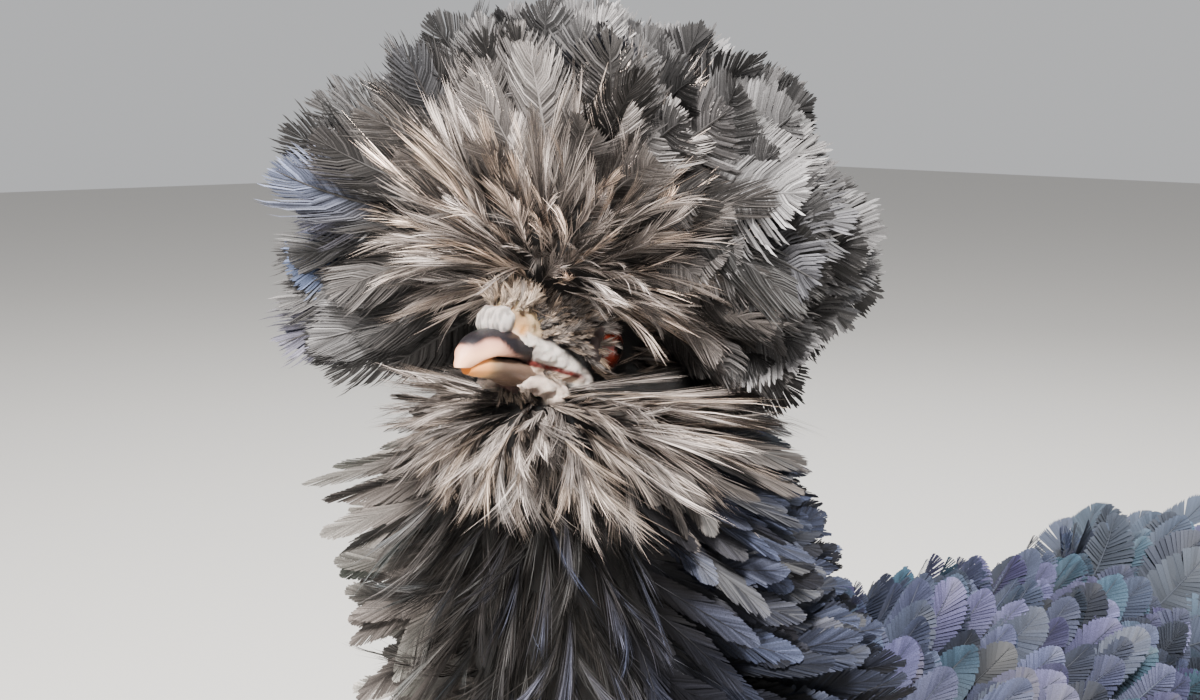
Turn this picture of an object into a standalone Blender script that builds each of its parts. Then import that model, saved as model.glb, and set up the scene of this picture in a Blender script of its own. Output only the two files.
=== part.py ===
"""A frizzled black Padovana hen, life size, standing with the head turned a little to its left.

Metres, +Z up. The hen's body looks along -Y, its left side is +X, and it stands on z = 0. Feathers are
closed, tapered vanes that are rooted in the body of their own node.
"""

import itertools
import math
import random

import bmesh
import bpy
from mathutils import Matrix, Vector

GAP = 0.00035  # between two nodes that touch
X_AXIS = Vector((1, 0, 0))
Y_AXIS = Vector((0, 1, 0))
Z_AXIS = Vector((0, 0, 1))
GOLDEN_ANGLE = math.pi * (3 - math.sqrt(5))
SIDES = {"left": 1, "right": -1}

# The middle of the model's box along Y lies here; the whole hen is moved by it at the end
BOX_MIDDLE = Vector((0.0, 0.0417, 0.0))

# How far the roots of the feathers reach into the body
ROOT_DEPTH = 0.004
SMALL_ROOT_DEPTH = 0.003

# Torso and its frizzled coat
TORSO_FRONT = -0.098
TORSO_LENGTH = 0.220
TORSO_HALF_WIDTH = 0.061
TORSO_HALF_DEPTH = 0.054
BREAST_HEIGHT = 0.178
RUMP_HEIGHT = 0.198
BELLY_SAG = 0.076
TORSO_RINGS, TORSO_SIDES = 11, 18
BODY_ROWS = 7
BODY_COLUMNS = 11
BODY_LENGTH = 0.044
BODY_WIDTH = 0.030
BODY_START, BODY_END = 0.035, 0.915

# Head frame: x to the hen's left, y to the back of the head, z up; the origin lies midway between the eyes
HEAD_AT = Vector((0.0, -0.086, 0.322))
HEAD_TURN = math.radians(24.5)
HEAD_RAISE = math.radians(10.0)
HEAD = Matrix.Translation(HEAD_AT) @ Matrix.Rotation(HEAD_TURN, 4, "Z") @ Matrix.Rotation(-HEAD_RAISE, 4, "X")
EYE_RADIUS = 0.0066
EYE_AT = Vector((0.0085, -0.0045, 0.0000))
EYE_SIDES = 10
LID_AT = 0.0127  # from the middle of the head
LID_RADIUS = 0.0053
LID_THICKNESS = 0.0012
LID_SIDES = 10
SKULL_SIDES = 14

# Crest, and the beard with its two muffs: an inner form, and the outline that the tips reach
CREST_CORE_AT = Vector((0, 0.004, 0.027))
CREST_CORE_HALVES = Vector((0.031, 0.031, 0.023))
CREST_AT = Vector((0, 0.005, 0.030))
CREST_HALVES = Vector((0.068, 0.063, 0.047))
CREST_POLE_RISE = math.radians(-24)
CREST_VANES = 72
CREST_SPREAD = math.radians(172)
CREST_WIDTH = 0.0190
BEARD_CORE_AT = Vector((0, 0.000, -0.0190))
BEARD_CORE_HALVES = Vector((0.0270, 0.0230, 0.0110))
BEARD_AT = Vector((0, 0.004, -0.018))
BEARD_HALVES = Vector((0.0600, 0.0500, 0.0300))
BEARD_POLE_RISE = math.radians(12)
BEARD_VANES = 84
BEARD_SPREAD = math.radians(128)
BEARD_WIDTH = 0.0145
BEARD_HALF_ANGLE = math.radians(40)
MUFF_END_ANGLE = math.radians(138)
MUFF_TOP = -0.0088
# Parting surfaces: the height on the axis, the slope outwards, and the slope to the front
CREST_EDGE = (0.0153, -0.455, 0.35)
BEARD_EDGE = (-0.0130, -0.52, -0.10)
RUFF_EDGE = (0.236, -0.42, -0.26)
# Where, round from the front, the muffs end at the crest's edge
BEHIND_EARS = (math.radians(105), math.radians(150))

# Neck and its ruff
NECK_BASE = Vector((0, -0.050, 0.176))
NECK_BEND = Vector((0, -0.074, 0.250))
NECK_TOP = HEAD @ Vector((0, 0.005, -0.006))
NECK_THIN = 0.025
NECK_FLARE = 0.021
NECK_RINGS, NECK_SIDES = 9, 18
RUFF_AXIS = Vector((0, -0.056, 0))
RUFF_ROWS = 5
RUFF_COLUMNS = 9
RUFF_LENGTH = 0.044
RUFF_WIDTH = 0.021
RUFF_START, RUFF_END = 0.20, 0.86
RUFF_ROOM = 0.075
NAPE_END = 0.072  # behind the ruff's axis

# Wings, tail and legs
WING_AT = Vector((0.0585, 0.002, 0.184))
WING_HALVES = Vector((0.0065, 0.050, 0.023))
# The room of a wing and its feathers, which the feathers of the torso stay out of
WING_INSIDE = 0.040
WING_FRONT = -0.066
WING_BACK = 0.108
WING_LOW = 0.143
WING_HIGH = 0.216
# Rows of (y, lowest z, highest z, feathers, length, width, lift in degrees)
WING_TIERS = (
    (0.024, 0.160, 0.184, 3, 0.080, 0.019, 3),
    (0.010, 0.157, 0.208, 4, 0.062, 0.023, 8),
    (-0.016, 0.156, 0.208, 4, 0.048, 0.024, 13),
    (-0.042, 0.162, 0.206, 3, 0.044, 0.025, 18),
)
WING_SLOPE = -0.20
SHINGLE_TILT = math.radians(9)
THIGH_COLUMNS = 4
THIGH_ROWS = (0.34, 0.66)
THIGH_VANE_LENGTH = 0.029
THIGH_VANE_WIDTH = 0.026
TAIL_RISE = math.radians(9)
TAIL_AXIS = Vector((0, math.cos(TAIL_RISE), math.sin(TAIL_RISE)))
TAIL_ROOT = Vector((0, 0.108, 0.209))
TAIL_LENGTH = 0.106
TAIL_WIDTH = 0.025
COVERT_LENGTH = 0.052
TAIL_VANES = 12
TAIL_FAN = 4.8  # degrees from one tail feather to the next
TAIL_COVERTS = 7
# Rows of (distance along the tail, height over its line, half width, half height)
TAIL_CORE_ROWS = (
    (-0.020, -0.017, 0.030, 0.029),
    (0.000, -0.016, 0.029, 0.028),
    (0.014, -0.010, 0.022, 0.019),
    (0.036, 0.000, 0.012, 0.005),
)
LEG_APART = 0.041
HOCK = Vector((LEG_APART, 0.022, 0.090))
FOOT = Vector((LEG_APART, -0.002, 0.0085))
THIGH_TOP = Vector((0.036, -0.004, 0.146))
TOES = {
    "inner": (-34, 0.038),
    "middle": (3, 0.050),
    "outer": (38, 0.042),
    "hind": (168, 0.019),
}
TOE_RADIUS = 0.0046
TOE_END_RADIUS = 0.0029
CLAW_LENGTH = 0.011

# Each feathered node seeds it anew
RNG = random.Random()


def material(name, colour, roughness, metallic=0.0):
    made = bpy.data.materials.new(name)
    made.use_nodes = True
    shader = made.node_tree.nodes["Principled BSDF"]
    shader.inputs["Base Color"].default_value = (*colour, 1.0)
    shader.inputs["Roughness"].default_value = roughness
    shader.inputs["Metallic"].default_value = metallic
    return made


def mesh_object(name, points, faces, finish=None):
    """An object in the scene from points and faces, its faces pointing out."""
    mesh = bpy.data.meshes.new(name)
    mesh.from_pydata([tuple(p) for p in points], [], faces)
    editor = bmesh.new()
    editor.from_mesh(mesh)
    bmesh.ops.recalc_face_normals(editor, faces=editor.faces)
    editor.to_mesh(mesh)
    editor.free()
    made = bpy.data.objects.new(name, mesh)
    bpy.context.scene.collection.objects.link(made)
    if finish:
        mesh.materials.append(finish)
    return made


def grown(obj, amount):
    """Moves every face of a closed form out by at least amount."""
    editor = bmesh.new()
    editor.from_mesh(obj.data)
    editor.normal_update()
    moves = []
    for corner in editor.verts:
        squarest = min(corner.normal.dot(face.normal) for face in corner.link_faces)
        moves.append(corner.normal * amount / max(0.4, squarest))
    for corner, move in zip(editor.verts, moves):
        corner.co += move
    editor.to_mesh(obj.data)
    editor.free()
    return obj


def bent(start, middle, end, t):
    """A point of the curve from start to end that leans towards middle."""
    return start * (1 - t) ** 2 + middle * 2 * t * (1 - t) + end * t**2


def mirrored(point, sign):
    return Vector((point.x * sign, point.y, point.z))


def smooth_step(x, low, high):
    t = min(1.0, max(0.0, (x - low) / (high - low)))
    return t * t * (3 - 2 * t)


class Loft:
    """A closed round form along a line: centre(t) and half sizes(t) for t from 0 to 1.

    An angle of 0 is to the side, and 90 degrees is towards `up`.
    """

    def __init__(self, centre, halves, up):
        self.centre, self.halves, self.up = centre, halves, up

    def axes(self, t):
        step = 0.002
        along = (self.centre(min(1, t + step)) - self.centre(max(0, t - step))).normalized()
        up = (self.up - along * self.up.dot(along)).normalized()
        return along, along.cross(up), up

    def point(self, t, angle):
        _, side, up = self.axes(t)
        half_side, half_up = self.halves(t)
        return self.centre(t) + side * half_side * math.cos(angle) + up * half_up * math.sin(angle)

    def surface(self, t, angle):
        """A point on the form, the way out of it there, and the way along it."""
        step = 0.01
        here = self.point(t, angle)
        along = self.point(min(0.99, t + step), angle) - self.point(max(0.01, t - step), angle)
        around = self.point(t, angle + step) - self.point(t, angle - step)
        out = around.cross(along).normalized()
        if out.dot(here - self.centre(t)) < 0:
            out.negate()
        return here, out, along.normalized()

    def build(self, name, rings, sides, grow=0.0, finish=None, pointed=True):
        """pointed closes the ends at one point each; otherwise the end rings are flat caps."""
        if pointed:
            spread = [(1 - math.cos(math.pi * k / rings)) / 2 for k in range(1, rings)]
        else:
            spread = [k / rings for k in range(rings + 1)]
        points = []
        for t in spread:
            points += [self.point(t, 2 * math.pi * j / sides) for j in range(sides)]
        faces = []
        for k in range(len(spread) - 1):
            for j in range(sides):
                a, b = k * sides + j, k * sides + (j + 1) % sides
                faces += [(a, b, b + sides), (a, b + sides, a + sides)]
        points += [self.centre(0), self.centre(1)]
        first, last = len(points) - 2, len(points) - 1
        end_ring = (len(spread) - 1) * sides
        for j in range(sides):
            faces.append((first, (j + 1) % sides, j))
            faces.append((last, end_ring + j, end_ring + (j + 1) % sides))
        made = mesh_object(name, points, faces, finish)
        return grown(made, grow) if grow else made


def ellipsoid_loft(at, halves):
    """A Loft in the shape of an ellipsoid whose long way runs along Y."""

    def centre(t):
        return at + Y_AXIS * halves.y * (2 * t - 1)

    def sizes(t):
        share = math.sqrt(max(0.0, 1 - (2 * t - 1) ** 2))
        return halves.x * share, halves.z * share

    return Loft(centre, sizes, Z_AXIS)


def in_head(loft):
    """The same form with its places given in the head frame."""
    return Loft(lambda t: HEAD @ loft.centre(t), loft.halves, HEAD.to_3x3() @ loft.up)


def stations_loft(stations, up=Z_AXIS):
    """A Loft through (centre, half width, half height) rows, straight between them."""

    def share(t):
        k = min(len(stations) - 2, int(t * (len(stations) - 1)))
        return k, t * (len(stations) - 1) - k

    def centre(t):
        k, f = share(t)
        return stations[k][0].lerp(stations[k + 1][0], f)

    def sizes(t):
        k, f = share(t)
        return tuple(stations[k][i] * (1 - f) + stations[k + 1][i] * f for i in (1, 2))

    return Loft(centre, sizes, up)


def applied(obj):
    """Makes the object's modifiers part of its mesh."""
    graph = bpy.context.evaluated_depsgraph_get()
    mesh = bpy.data.meshes.new_from_object(obj.evaluated_get(graph))
    old = obj.data
    obj.modifiers.clear()
    obj.data = mesh
    bpy.data.meshes.remove(old)
    return obj


def keep_largest(obj):
    """Keeps only the closed surface that holds the most."""
    editor = bmesh.new()
    editor.from_mesh(obj.data)
    bmesh.ops.triangulate(editor, faces=editor.faces)
    unseen = set(editor.faces)
    shells = []
    while unseen:
        edge_of_known = [unseen.pop()]
        shell = list(edge_of_known)
        while edge_of_known:
            face = edge_of_known.pop()
            for edge in face.edges:
                for other in edge.link_faces:
                    if other in unseen:
                        unseen.remove(other)
                        shell.append(other)
                        edge_of_known.append(other)
        shells.append(shell)

    def volume(shell):
        return sum(f.verts[0].co.dot(f.verts[1].co.cross(f.verts[2].co)) for f in shell) / 6

    best = max(shells, key=volume)
    dropped = [f for shell in shells if shell is not best for f in shell]
    bmesh.ops.delete(editor, geom=dropped, context="FACES")
    editor.to_mesh(obj.data)
    editor.free()
    return obj


def is_closed(mesh):
    """Whether a mesh has faces, and two of them at each edge."""
    editor = bmesh.new()
    editor.from_mesh(mesh)
    closed = bool(editor.faces) and all(len(edge.link_faces) == 2 for edge in editor.edges)
    editor.free()
    return closed


def boolean(obj, operation, others):
    """Joins others to obj, or takes them away, and removes them."""
    group = bpy.data.collections.new("pieces of " + obj.name)
    bpy.context.scene.collection.children.link(group)
    for other in others:
        for collection in other.users_collection:
            collection.objects.unlink(other)
        group.objects.link(other)
    before = obj.data.copy()
    for solver in ("EXACT", "MANIFOLD"):
        modifier = obj.modifiers.new(operation, "BOOLEAN")
        modifier.operation = operation
        modifier.operand_type = "COLLECTION"
        modifier.collection = group
        modifier.solver = solver
        applied(obj)
        if is_closed(obj.data):
            break
        if solver == "EXACT":
            obj.data = before.copy()
    bpy.data.meshes.remove(before)
    for other in others:
        mesh = other.data
        bpy.data.objects.remove(other)
        bpy.data.meshes.remove(mesh)
    bpy.data.collections.remove(group)
    return obj


def cut(obj, *cutters):
    """Takes the cutters away from obj one after the other."""
    for cutter in cutters:
        boolean(obj, "DIFFERENCE", [cutter])
    return keep_largest(obj)


def box(name, low, high):
    points = [Vector((x, y, z)) for x, y, z in itertools.product(*zip(low, high))]
    faces = [(0, 1, 3, 2), (4, 6, 7, 5), (0, 4, 5, 1), (2, 3, 7, 6), (0, 2, 6, 4), (1, 5, 7, 3)]
    return mesh_object(name, points, faces)


def half_space(name, point, normal):
    """A block of all that lies beyond a plane, on the side that its normal points to."""
    made = box(name, (-0.3, -0.3, 0), (0.3, 0.3, 0.3))
    turn = Z_AXIS.rotation_difference(normal).to_matrix().to_4x4()
    made.data.transform(Matrix.Translation(point) @ turn)
    return made


# Parting surfaces: each is a height over a polar grid, and angle 0 is the front


def sloped(edge, radius, angle):
    high, outward, forward = edge
    return high + outward * radius + forward * radius * math.cos(angle)


def crest_floor(radius, angle):
    """Lower edge of the crest, in the head frame: high over the bill and low over the nape."""
    return sloped(CREST_EDGE, radius, angle)


def muff_ceiling(radius, angle):
    """Upper edge of the beard and muffs, which leaves the eyes free."""
    return min(crest_floor(radius, angle) - GAP, MUFF_TOP)


def muff_floor(radius, angle):
    """Lower edge of the beard and muffs, which meets the crest's edge behind the ears."""
    behind = smooth_step(abs(angle), *BEHIND_EARS)
    return sloped(BEARD_EDGE, radius, angle) * (1 - behind) + (crest_floor(radius, angle) - GAP) * behind


def ruff_floor(radius, angle):
    """Lower edge of the ruff round the neck's base: lowest on the breast, highest on the back."""
    return sloped(RUFF_EDGE, radius, angle)


def beyond_surface(name, height, frame, above, shift=0.0, reach=0.125):
    """A closed block of all that lies above, or below, a parting surface."""
    radii = (0.022, 0.05, reach)
    sides = 28
    far = 0.30 if above else -0.30
    points = [frame @ Vector((0, 0, height(0, 0) + shift))]
    for radius in radii:
        for j in range(sides):
            angle = 2 * math.pi * j / sides
            signed = angle if angle <= math.pi else angle - 2 * math.pi
            high = height(radius, signed) + shift
            points.append(frame @ Vector((radius * math.sin(angle), -radius * math.cos(angle), high)))
    corners = [2 * math.pi * j / sides for j in range(sides)]
    points += [frame @ Vector((reach * math.sin(a), -reach * math.cos(a), far)) for a in corners]
    points.append(frame @ Vector((0, 0, far)))
    last = len(points) - 1
    faces = [(0, 1 + j, 1 + (j + 1) % sides) for j in range(sides)]
    for k in range(len(radii)):
        for j in range(sides):
            a, b = 1 + k * sides + j, 1 + k * sides + (j + 1) % sides
            faces += [(a, a + sides, b + sides), (a, b + sides, b)]
    rim = 1 + len(radii) * sides
    faces += [(rim + j, last, rim + (j + 1) % sides) for j in range(sides)]
    return mesh_object(name, points, faces)


NECK_FRAME = Matrix.Translation(RUFF_AXIS)


def held_between(frame, floor=None, ceiling=None, margin=0.0013):
    """A rule that lifts or lowers a point so that it stays between two parting surfaces."""
    back = frame.inverted()

    def rule(point):
        local = back @ point
        radius = math.hypot(local.x, local.y)
        angle = math.atan2(local.x, -local.y)
        if floor:
            local.z = max(local.z, floor(radius, angle) + margin)
        if ceiling:
            local.z = min(local.z, ceiling(radius, angle) - margin)
        return frame @ local

    return rule


# Feathers

# Rows of (share of the length, share of the width, share of the ridge's thickness)
BROAD = ((0.0, 0.36, 1.3), (0.48, 0.98, 1.05), (0.87, 0.80, 0.70))
LANCE = ((0.0, 0.42, 1.3), (0.46, 1.0, 1.1), (0.80, 0.66, 0.75))


def arc(root, lie, out, lift, curl, length, share):
    """A point on a feather's shaft, which leaves the skin at lift and turns by curl over its length."""
    turn = curl if abs(curl) > 1e-3 else 1e-3
    angle = lift + turn * share
    forward = (math.sin(angle) - math.sin(lift)) / turn
    upward = (math.cos(lift) - math.cos(angle)) / turn
    return root + (lie * forward + out * upward) * length


def vane(root, out, lie, lift, curl, length, width, shape=BROAD, rule=None, ridge=0.0011):
    """A flat, tapered, closed feather with a ridge for its shaft; lift and curl are in degrees."""
    lie = (lie - out * lie.dot(out)).normalized()
    side = lie.cross(out).normalized()
    lift, curl = math.radians(lift), math.radians(curl)
    shaft = [arc(root, lie, out, lift, curl, length, share) for share, _, _ in shape]
    shaft.append(arc(root, lie, out, lift, curl, length, 1.0))
    if rule:
        shaft = [shaft[0]] + [rule(p) for p in shaft[1:]]
    points = []
    for k, (_, wide, thick) in enumerate(shape):
        along = (shaft[k + 1] - shaft[max(0, k - 1)]).normalized()
        across = (side - along * side.dot(along)).normalized()
        face = across.cross(along)
        edge = across * (width * wide / 2)
        droop = face * (0.03 * width * wide)
        raised = face * (ridge * thick / 2)
        points += [shaft[k] - edge - droop, shaft[k] + raised, shaft[k] + edge - droop, shaft[k] - raised]
    points.append(shaft[-1])
    faces = [(3, 2, 1), (3, 1, 0)]
    for k in range(len(shape) - 1):
        for j in range(4):
            a, b = 4 * k + j, 4 * k + (j + 1) % 4
            c, d = b + 4, a + 4
            faces += [(a, b, c), (a, c, d)] if j % 2 == 0 else [(a, b, d), (b, c, d)]
    end = 4 * (len(shape) - 1)
    faces += [(end + j, end + (j + 1) % 4, end + 4) for j in range(4)]
    return mesh_object("vane", points, faces)


def coated(core, vanes, clear_of=(), inside=None):
    """Joins feathers to a core, once they are cut clear of their neighbours' room."""
    coat = vanes[0]
    boolean(coat, "UNION", vanes[1:])
    if inside:
        boolean(coat, "INTERSECT", [inside])
    for cutter in clear_of:
        boolean(coat, "DIFFERENCE", [cutter])
    return boolean(core, "UNION", [coat])


def vary(value, share):
    return value * (1 + RNG.uniform(-share, share))


def spiral(count, spread, rise):
    """Evenly spread directions of the head frame, out to a spread from a pole at the front."""
    pole = Vector((0, -math.cos(rise), math.sin(rise)))
    upward = X_AXIS.cross(pole).normalized()
    for i in range(count):
        polar = math.acos(1 - (1 - math.cos(spread)) * (i + 0.5) / count)
        around = X_AXIS * math.cos(i * GOLDEN_ANGLE) + upward * math.sin(i * GOLDEN_ANGLE)
        yield pole * math.cos(polar) + around * math.sin(polar), around, polar


def crest_vanes():
    """Feathers that radiate from the hairline over the bill, short there and long over the crown and ears."""
    made = []
    turn = HEAD.to_3x3()
    rule = held_between(HEAD, floor=crest_floor)
    for ray, around, polar in spiral(CREST_VANES, CREST_SPREAD, CREST_POLE_RISE):
        root = on_ellipsoid(CREST_CORE_AT, CREST_CORE_HALVES, CREST_CORE_AT, ray)
        if root.z < crest_floor(*polar_place(root)) + 0.003:
            continue
        tip = on_ellipsoid(CREST_AT, CREST_HALVES, CREST_CORE_AT, ray)
        out = way_out(root - CREST_CORE_AT, CREST_CORE_HALVES)
        full = 0.45 + 0.55 * smooth_step(polar, 0.3, 1.3)
        length = vary((tip - root).length * 1.05 * full + 0.004, 0.06)
        lift, curl = vary(34 + 28 * smooth_step(polar, 0.3, 1.2), 0.06), RNG.uniform(6, 26)
        start = HEAD @ (root - out * ROOT_DEPTH)
        lie = turn @ (around + X_AXIS * RNG.uniform(-0.12, 0.12))
        made.append(vane(start, turn @ out, lie, lift, curl, length, vary(CREST_WIDTH, 0.10), BROAD, rule))
    return made


def polar_place(point):
    """A point's distance from the upright axis of its frame, and its angle from the front."""
    return math.hypot(point.x, point.y), math.atan2(point.x, -point.y)


def way_out(offset, halves):
    """The direction straight out of an ellipsoid at an offset from its centre."""
    return Vector([offset[i] / halves[i] ** 2 for i in range(3)]).normalized()


def on_ellipsoid(centre, halves, start, ray):
    """Where a ray from inside the ellipsoid leaves it."""
    offset = start - centre
    scaled = [(offset[i] / halves[i], ray[i] / halves[i]) for i in range(3)]
    a = sum(r * r for _, r in scaled)
    b = sum(o * r for o, r in scaled)
    c = sum(o * o for o, _ in scaled) - 1
    return start + ray * ((-b + math.sqrt(b * b - a * c)) / a)


def crest(finish):
    RNG.seed("crest")
    core = in_head(ellipsoid_loft(CREST_CORE_AT, CREST_CORE_HALVES)).build("crest", 9, 18, finish=finish)
    coated(core, crest_vanes())
    cut(core, beyond_surface("below crest", crest_floor, HEAD, above=False), skull_grown())


# Head

SKULL_ROWS = (
    (-0.0225, -0.0030, 0.0050, 0.0058),
    (-0.0180, -0.0028, 0.0072, 0.0088),
    (-0.0110, -0.0016, 0.0110, 0.0122),
    (-0.0030, -0.0002, 0.0138, 0.0150),
    (0.0060, 0.0008, 0.0150, 0.0164),
    (0.0140, 0.0000, 0.0136, 0.0150),
    (0.0205, -0.0020, 0.0092, 0.0104),
    (0.0235, -0.0030, 0.0040, 0.0050),
)



def skull_loft():
    rows = [(Vector((0, y, z)), wide, high) for y, z, wide, high in SKULL_ROWS]
    return in_head(stations_loft(rows))


def skull_grown():
    return skull_loft().build("grown skull", len(SKULL_ROWS) - 1, SKULL_SIDES, grow=GAP, pointed=False)


def eye_ball(name, sign, grow=0.0, finish=None):
    at = Vector((EYE_AT.x * sign, EYE_AT.y, EYE_AT.z))
    halves = Vector((EYE_RADIUS, EYE_RADIUS, EYE_RADIUS)) + Vector((grow, grow, grow))
    return in_head(ellipsoid_loft(at, halves)).build(name, 6, EYE_SIDES, finish=finish)


def lid(name, sign):
    """The ring of the two eyelids, lying on the face round the eye."""
    sides, round_sides = LID_SIDES, 4
    middle = Vector((sign * LID_AT, EYE_AT.y, EYE_AT.z))
    points, faces = [], []
    for j in range(sides):
        angle = 2 * math.pi * j / sides
        ray = Vector((0, math.cos(angle), math.sin(angle) * 0.88))
        for k in range(round_sides):
            turn = 2 * math.pi * k / round_sides
            inward = sign * (0.0011 * math.cos(turn) - 0.10 * LID_RADIUS * abs(math.cos(angle)))
            out = LID_RADIUS + LID_THICKNESS * math.sin(turn)
            points.append(HEAD @ (middle + ray * out + X_AXIS * inward))
            a = j * round_sides + k
            b = j * round_sides + (k + 1) % round_sides
            c = ((j + 1) % sides) * round_sides + (k + 1) % round_sides
            d = ((j + 1) % sides) * round_sides + k
            faces += [(a, b, c), (a, c, d)]
    return mesh_object(name, points, faces)


def head(finish, eye_finish):
    skull = skull_loft().build("head", len(SKULL_ROWS) - 1, SKULL_SIDES, finish=finish, pointed=False)
    boolean(skull, "UNION", [lid("lid " + side, sign) for side, sign in SIDES.items()])
    for side, sign in SIDES.items():
        cut(skull, eye_ball("socket", sign, grow=GAP))
        eye_ball("eye_" + side, sign, finish=eye_finish)
    return skull


# Bill: rows of (back, height, half width, half height) in the head frame

UPPER_ROWS = (
    (-0.0160, 0.0008, 0.0062, 0.0054),
    (-0.0225, 0.0010, 0.0064, 0.0054),
    (-0.0285, 0.0002, 0.0060, 0.0050),
    (-0.0335, -0.0008, 0.0051, 0.0042),
    (-0.0380, -0.0024, 0.0036, 0.0033),
    (-0.0406, -0.0042, 0.0020, 0.0022),
    (-0.0416, -0.0058, 0.0007, 0.0010),
)
LOWER_ROWS = (
    (-0.0110, -0.0086, 0.0062, 0.0046),
    (-0.0180, -0.0076, 0.0058, 0.0042),
    (-0.0250, -0.0064, 0.0050, 0.0036),
    (-0.0310, -0.0057, 0.0039, 0.0029),
    (-0.0355, -0.0056, 0.0026, 0.0020),
    (-0.0385, -0.0058, 0.0010, 0.0010),
)
# The line of the mouth, from behind its corner to in front of the tip
MOUTH_LINE = (
    (0.0100, -0.0092),
    (-0.0090, -0.0078),
    (-0.0180, -0.0054),
    (-0.0270, -0.0036),
    (-0.0330, -0.0034),
    (-0.0385, -0.0054),
    (-0.0600, -0.0058),
)
NOSTRIL_AT = Vector((0.0027, -0.0280, 0.0046))
NOSTRIL_HALVES = Vector((0.0036, 0.0050, 0.0038))


def mouth_side(name, above, shift=0.0):
    """A wide block of all that lies above, or below, the line of the mouth."""
    far = 0.03 if above else -0.04
    wide = 0.03
    line = [(y, z + shift) for y, z in MOUTH_LINE]
    outline = line + [(line[-1][0], far), (line[0][0], far)]
    count = len(outline)
    points = [HEAD @ Vector((x, y, z)) for x in (-wide, wide) for y, z in outline]
    faces = [(k, (k + 1) % count, count + (k + 1) % count, count + k) for k in range(count)]
    faces += [tuple(range(count)), tuple(range(count, 2 * count))]
    return mesh_object(name, points, faces)


def bill_loft(rows):
    return in_head(stations_loft([(Vector((0, y, z)), wide, high) for y, z, wide, high in rows]))


def bill(finish):
    """The two halves of the bill, and the raised, cavernous nostrils of the breed on the upper one."""
    upper = bill_loft(UPPER_ROWS).build("beak_upper", 8, 10, finish=finish, pointed=False)
    knobs = []
    for sign in SIDES.values():
        at = Vector((NOSTRIL_AT.x * sign, NOSTRIL_AT.y, NOSTRIL_AT.z))
        knobs.append(in_head(ellipsoid_loft(at, NOSTRIL_HALVES)).build("nostril", 5, 8))
    boolean(upper, "UNION", knobs)
    slits = []
    for sign in SIDES.values():
        at = Vector((sign * (NOSTRIL_AT.x + NOSTRIL_HALVES.x), NOSTRIL_AT.y - 0.0014, NOSTRIL_AT.z))
        slits.append(in_head(ellipsoid_loft(at, Vector((0.0012, 0.0024, 0.0009)))).build("slit", 4, 6))
    cut(upper, *slits, mouth_side("below the mouth", above=False), skull_grown())
    lower = bill_loft(LOWER_ROWS).build("beak_lower", 8, 12, finish=finish, pointed=False)
    cut(lower, mouth_side("above the mouth", above=True, shift=-GAP), skull_grown())


# Beard and muffs

def sector_sides(low, high, inset):
    """Blocks of all that lies outside a sector round the head's axis, whose angles start at the front."""
    made = []
    for angle, sign in ((high, 1), (low, -1)):
        normal = HEAD.to_3x3() @ Vector((math.cos(angle), math.sin(angle), 0)) * sign
        made.append(half_space("beyond the sector", HEAD_AT - normal * inset, normal))
    return made


def sector_rule(low, high, margin, then):
    """Keeps a point inside a sector round the head's axis, and then to another rule."""
    back = HEAD.inverted()

    def rule(point):
        local = back @ point
        radius = math.hypot(local.x, local.y)
        angle = math.atan2(local.x, -local.y)
        spare = margin / max(radius, 0.004)
        angle = min(high - spare, max(low + spare, angle))
        local.x, local.y = radius * math.sin(angle), -radius * math.cos(angle)
        return then(HEAD @ local)

    return rule


def beard_vanes():
    """Feathers that radiate from the root of the bill over chin and cheeks, with their angles."""
    turn = HEAD.to_3x3()
    between = held_between(HEAD, floor=muff_floor, ceiling=muff_ceiling, margin=0.0011)
    for ray, around, polar in spiral(BEARD_VANES, BEARD_SPREAD, BEARD_POLE_RISE):
        root = on_ellipsoid(BEARD_CORE_AT, BEARD_CORE_HALVES, BEARD_CORE_AT, ray)
        radius, angle = polar_place(root)
        if not muff_floor(radius, angle) + 0.001 < root.z < MUFF_TOP - 0.001 or abs(angle) > MUFF_END_ANGLE:
            continue
        low, high = SECTORS[sector_of(angle)]
        tip = on_ellipsoid(BEARD_AT, BEARD_HALVES, BEARD_CORE_AT, ray)
        out = way_out(root - BEARD_CORE_AT, BEARD_CORE_HALVES)
        length = vary((tip - root).length * 1.05 + 0.003, 0.08)
        lift, curl = vary(34, 0.08), RNG.uniform(2, 12)
        start = HEAD @ (root - out * SMALL_ROOT_DEPTH)
        rule = sector_rule(low, high, 0.0014, between)
        lie = turn @ (around * 0.8 - Z_AXIS * RNG.uniform(0.5, 1.5))
        width = vary(BEARD_WIDTH, 0.12)
        yield angle, vane(start, turn @ out, lie, lift, curl, length, width, LANCE, rule)


SECTORS = {
    "muff_left": (BEARD_HALF_ANGLE, MUFF_END_ANGLE),
    "beard": (-BEARD_HALF_ANGLE, BEARD_HALF_ANGLE),
    "muff_right": (-MUFF_END_ANGLE, -BEARD_HALF_ANGLE),
}


def sector_of(angle):
    return next(name for name, (low, high) in SECTORS.items() if low <= angle <= high)


def beard_and_muffs(finish):
    RNG.seed("beard and muffs")
    coats = {name: [] for name in SECTORS}
    for angle, feather in beard_vanes():
        coats[sector_of(angle)].append(feather)
    for name, (low, high) in SECTORS.items():
        core = in_head(ellipsoid_loft(BEARD_CORE_AT, BEARD_CORE_HALVES)).build(name, 9, 18, finish=finish)
        coated(core, coats[name])
        cut(
            core,
            *sector_sides(low, high, GAP / 2),
            beyond_surface("crest side", muff_ceiling, HEAD, above=True),
            beyond_surface("ruff side", muff_floor, HEAD, above=False),
            skull_grown(),
            bill_loft(LOWER_ROWS).build("grown bill", 8, 12, grow=GAP, pointed=False),
        )


# Torso and neck


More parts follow.
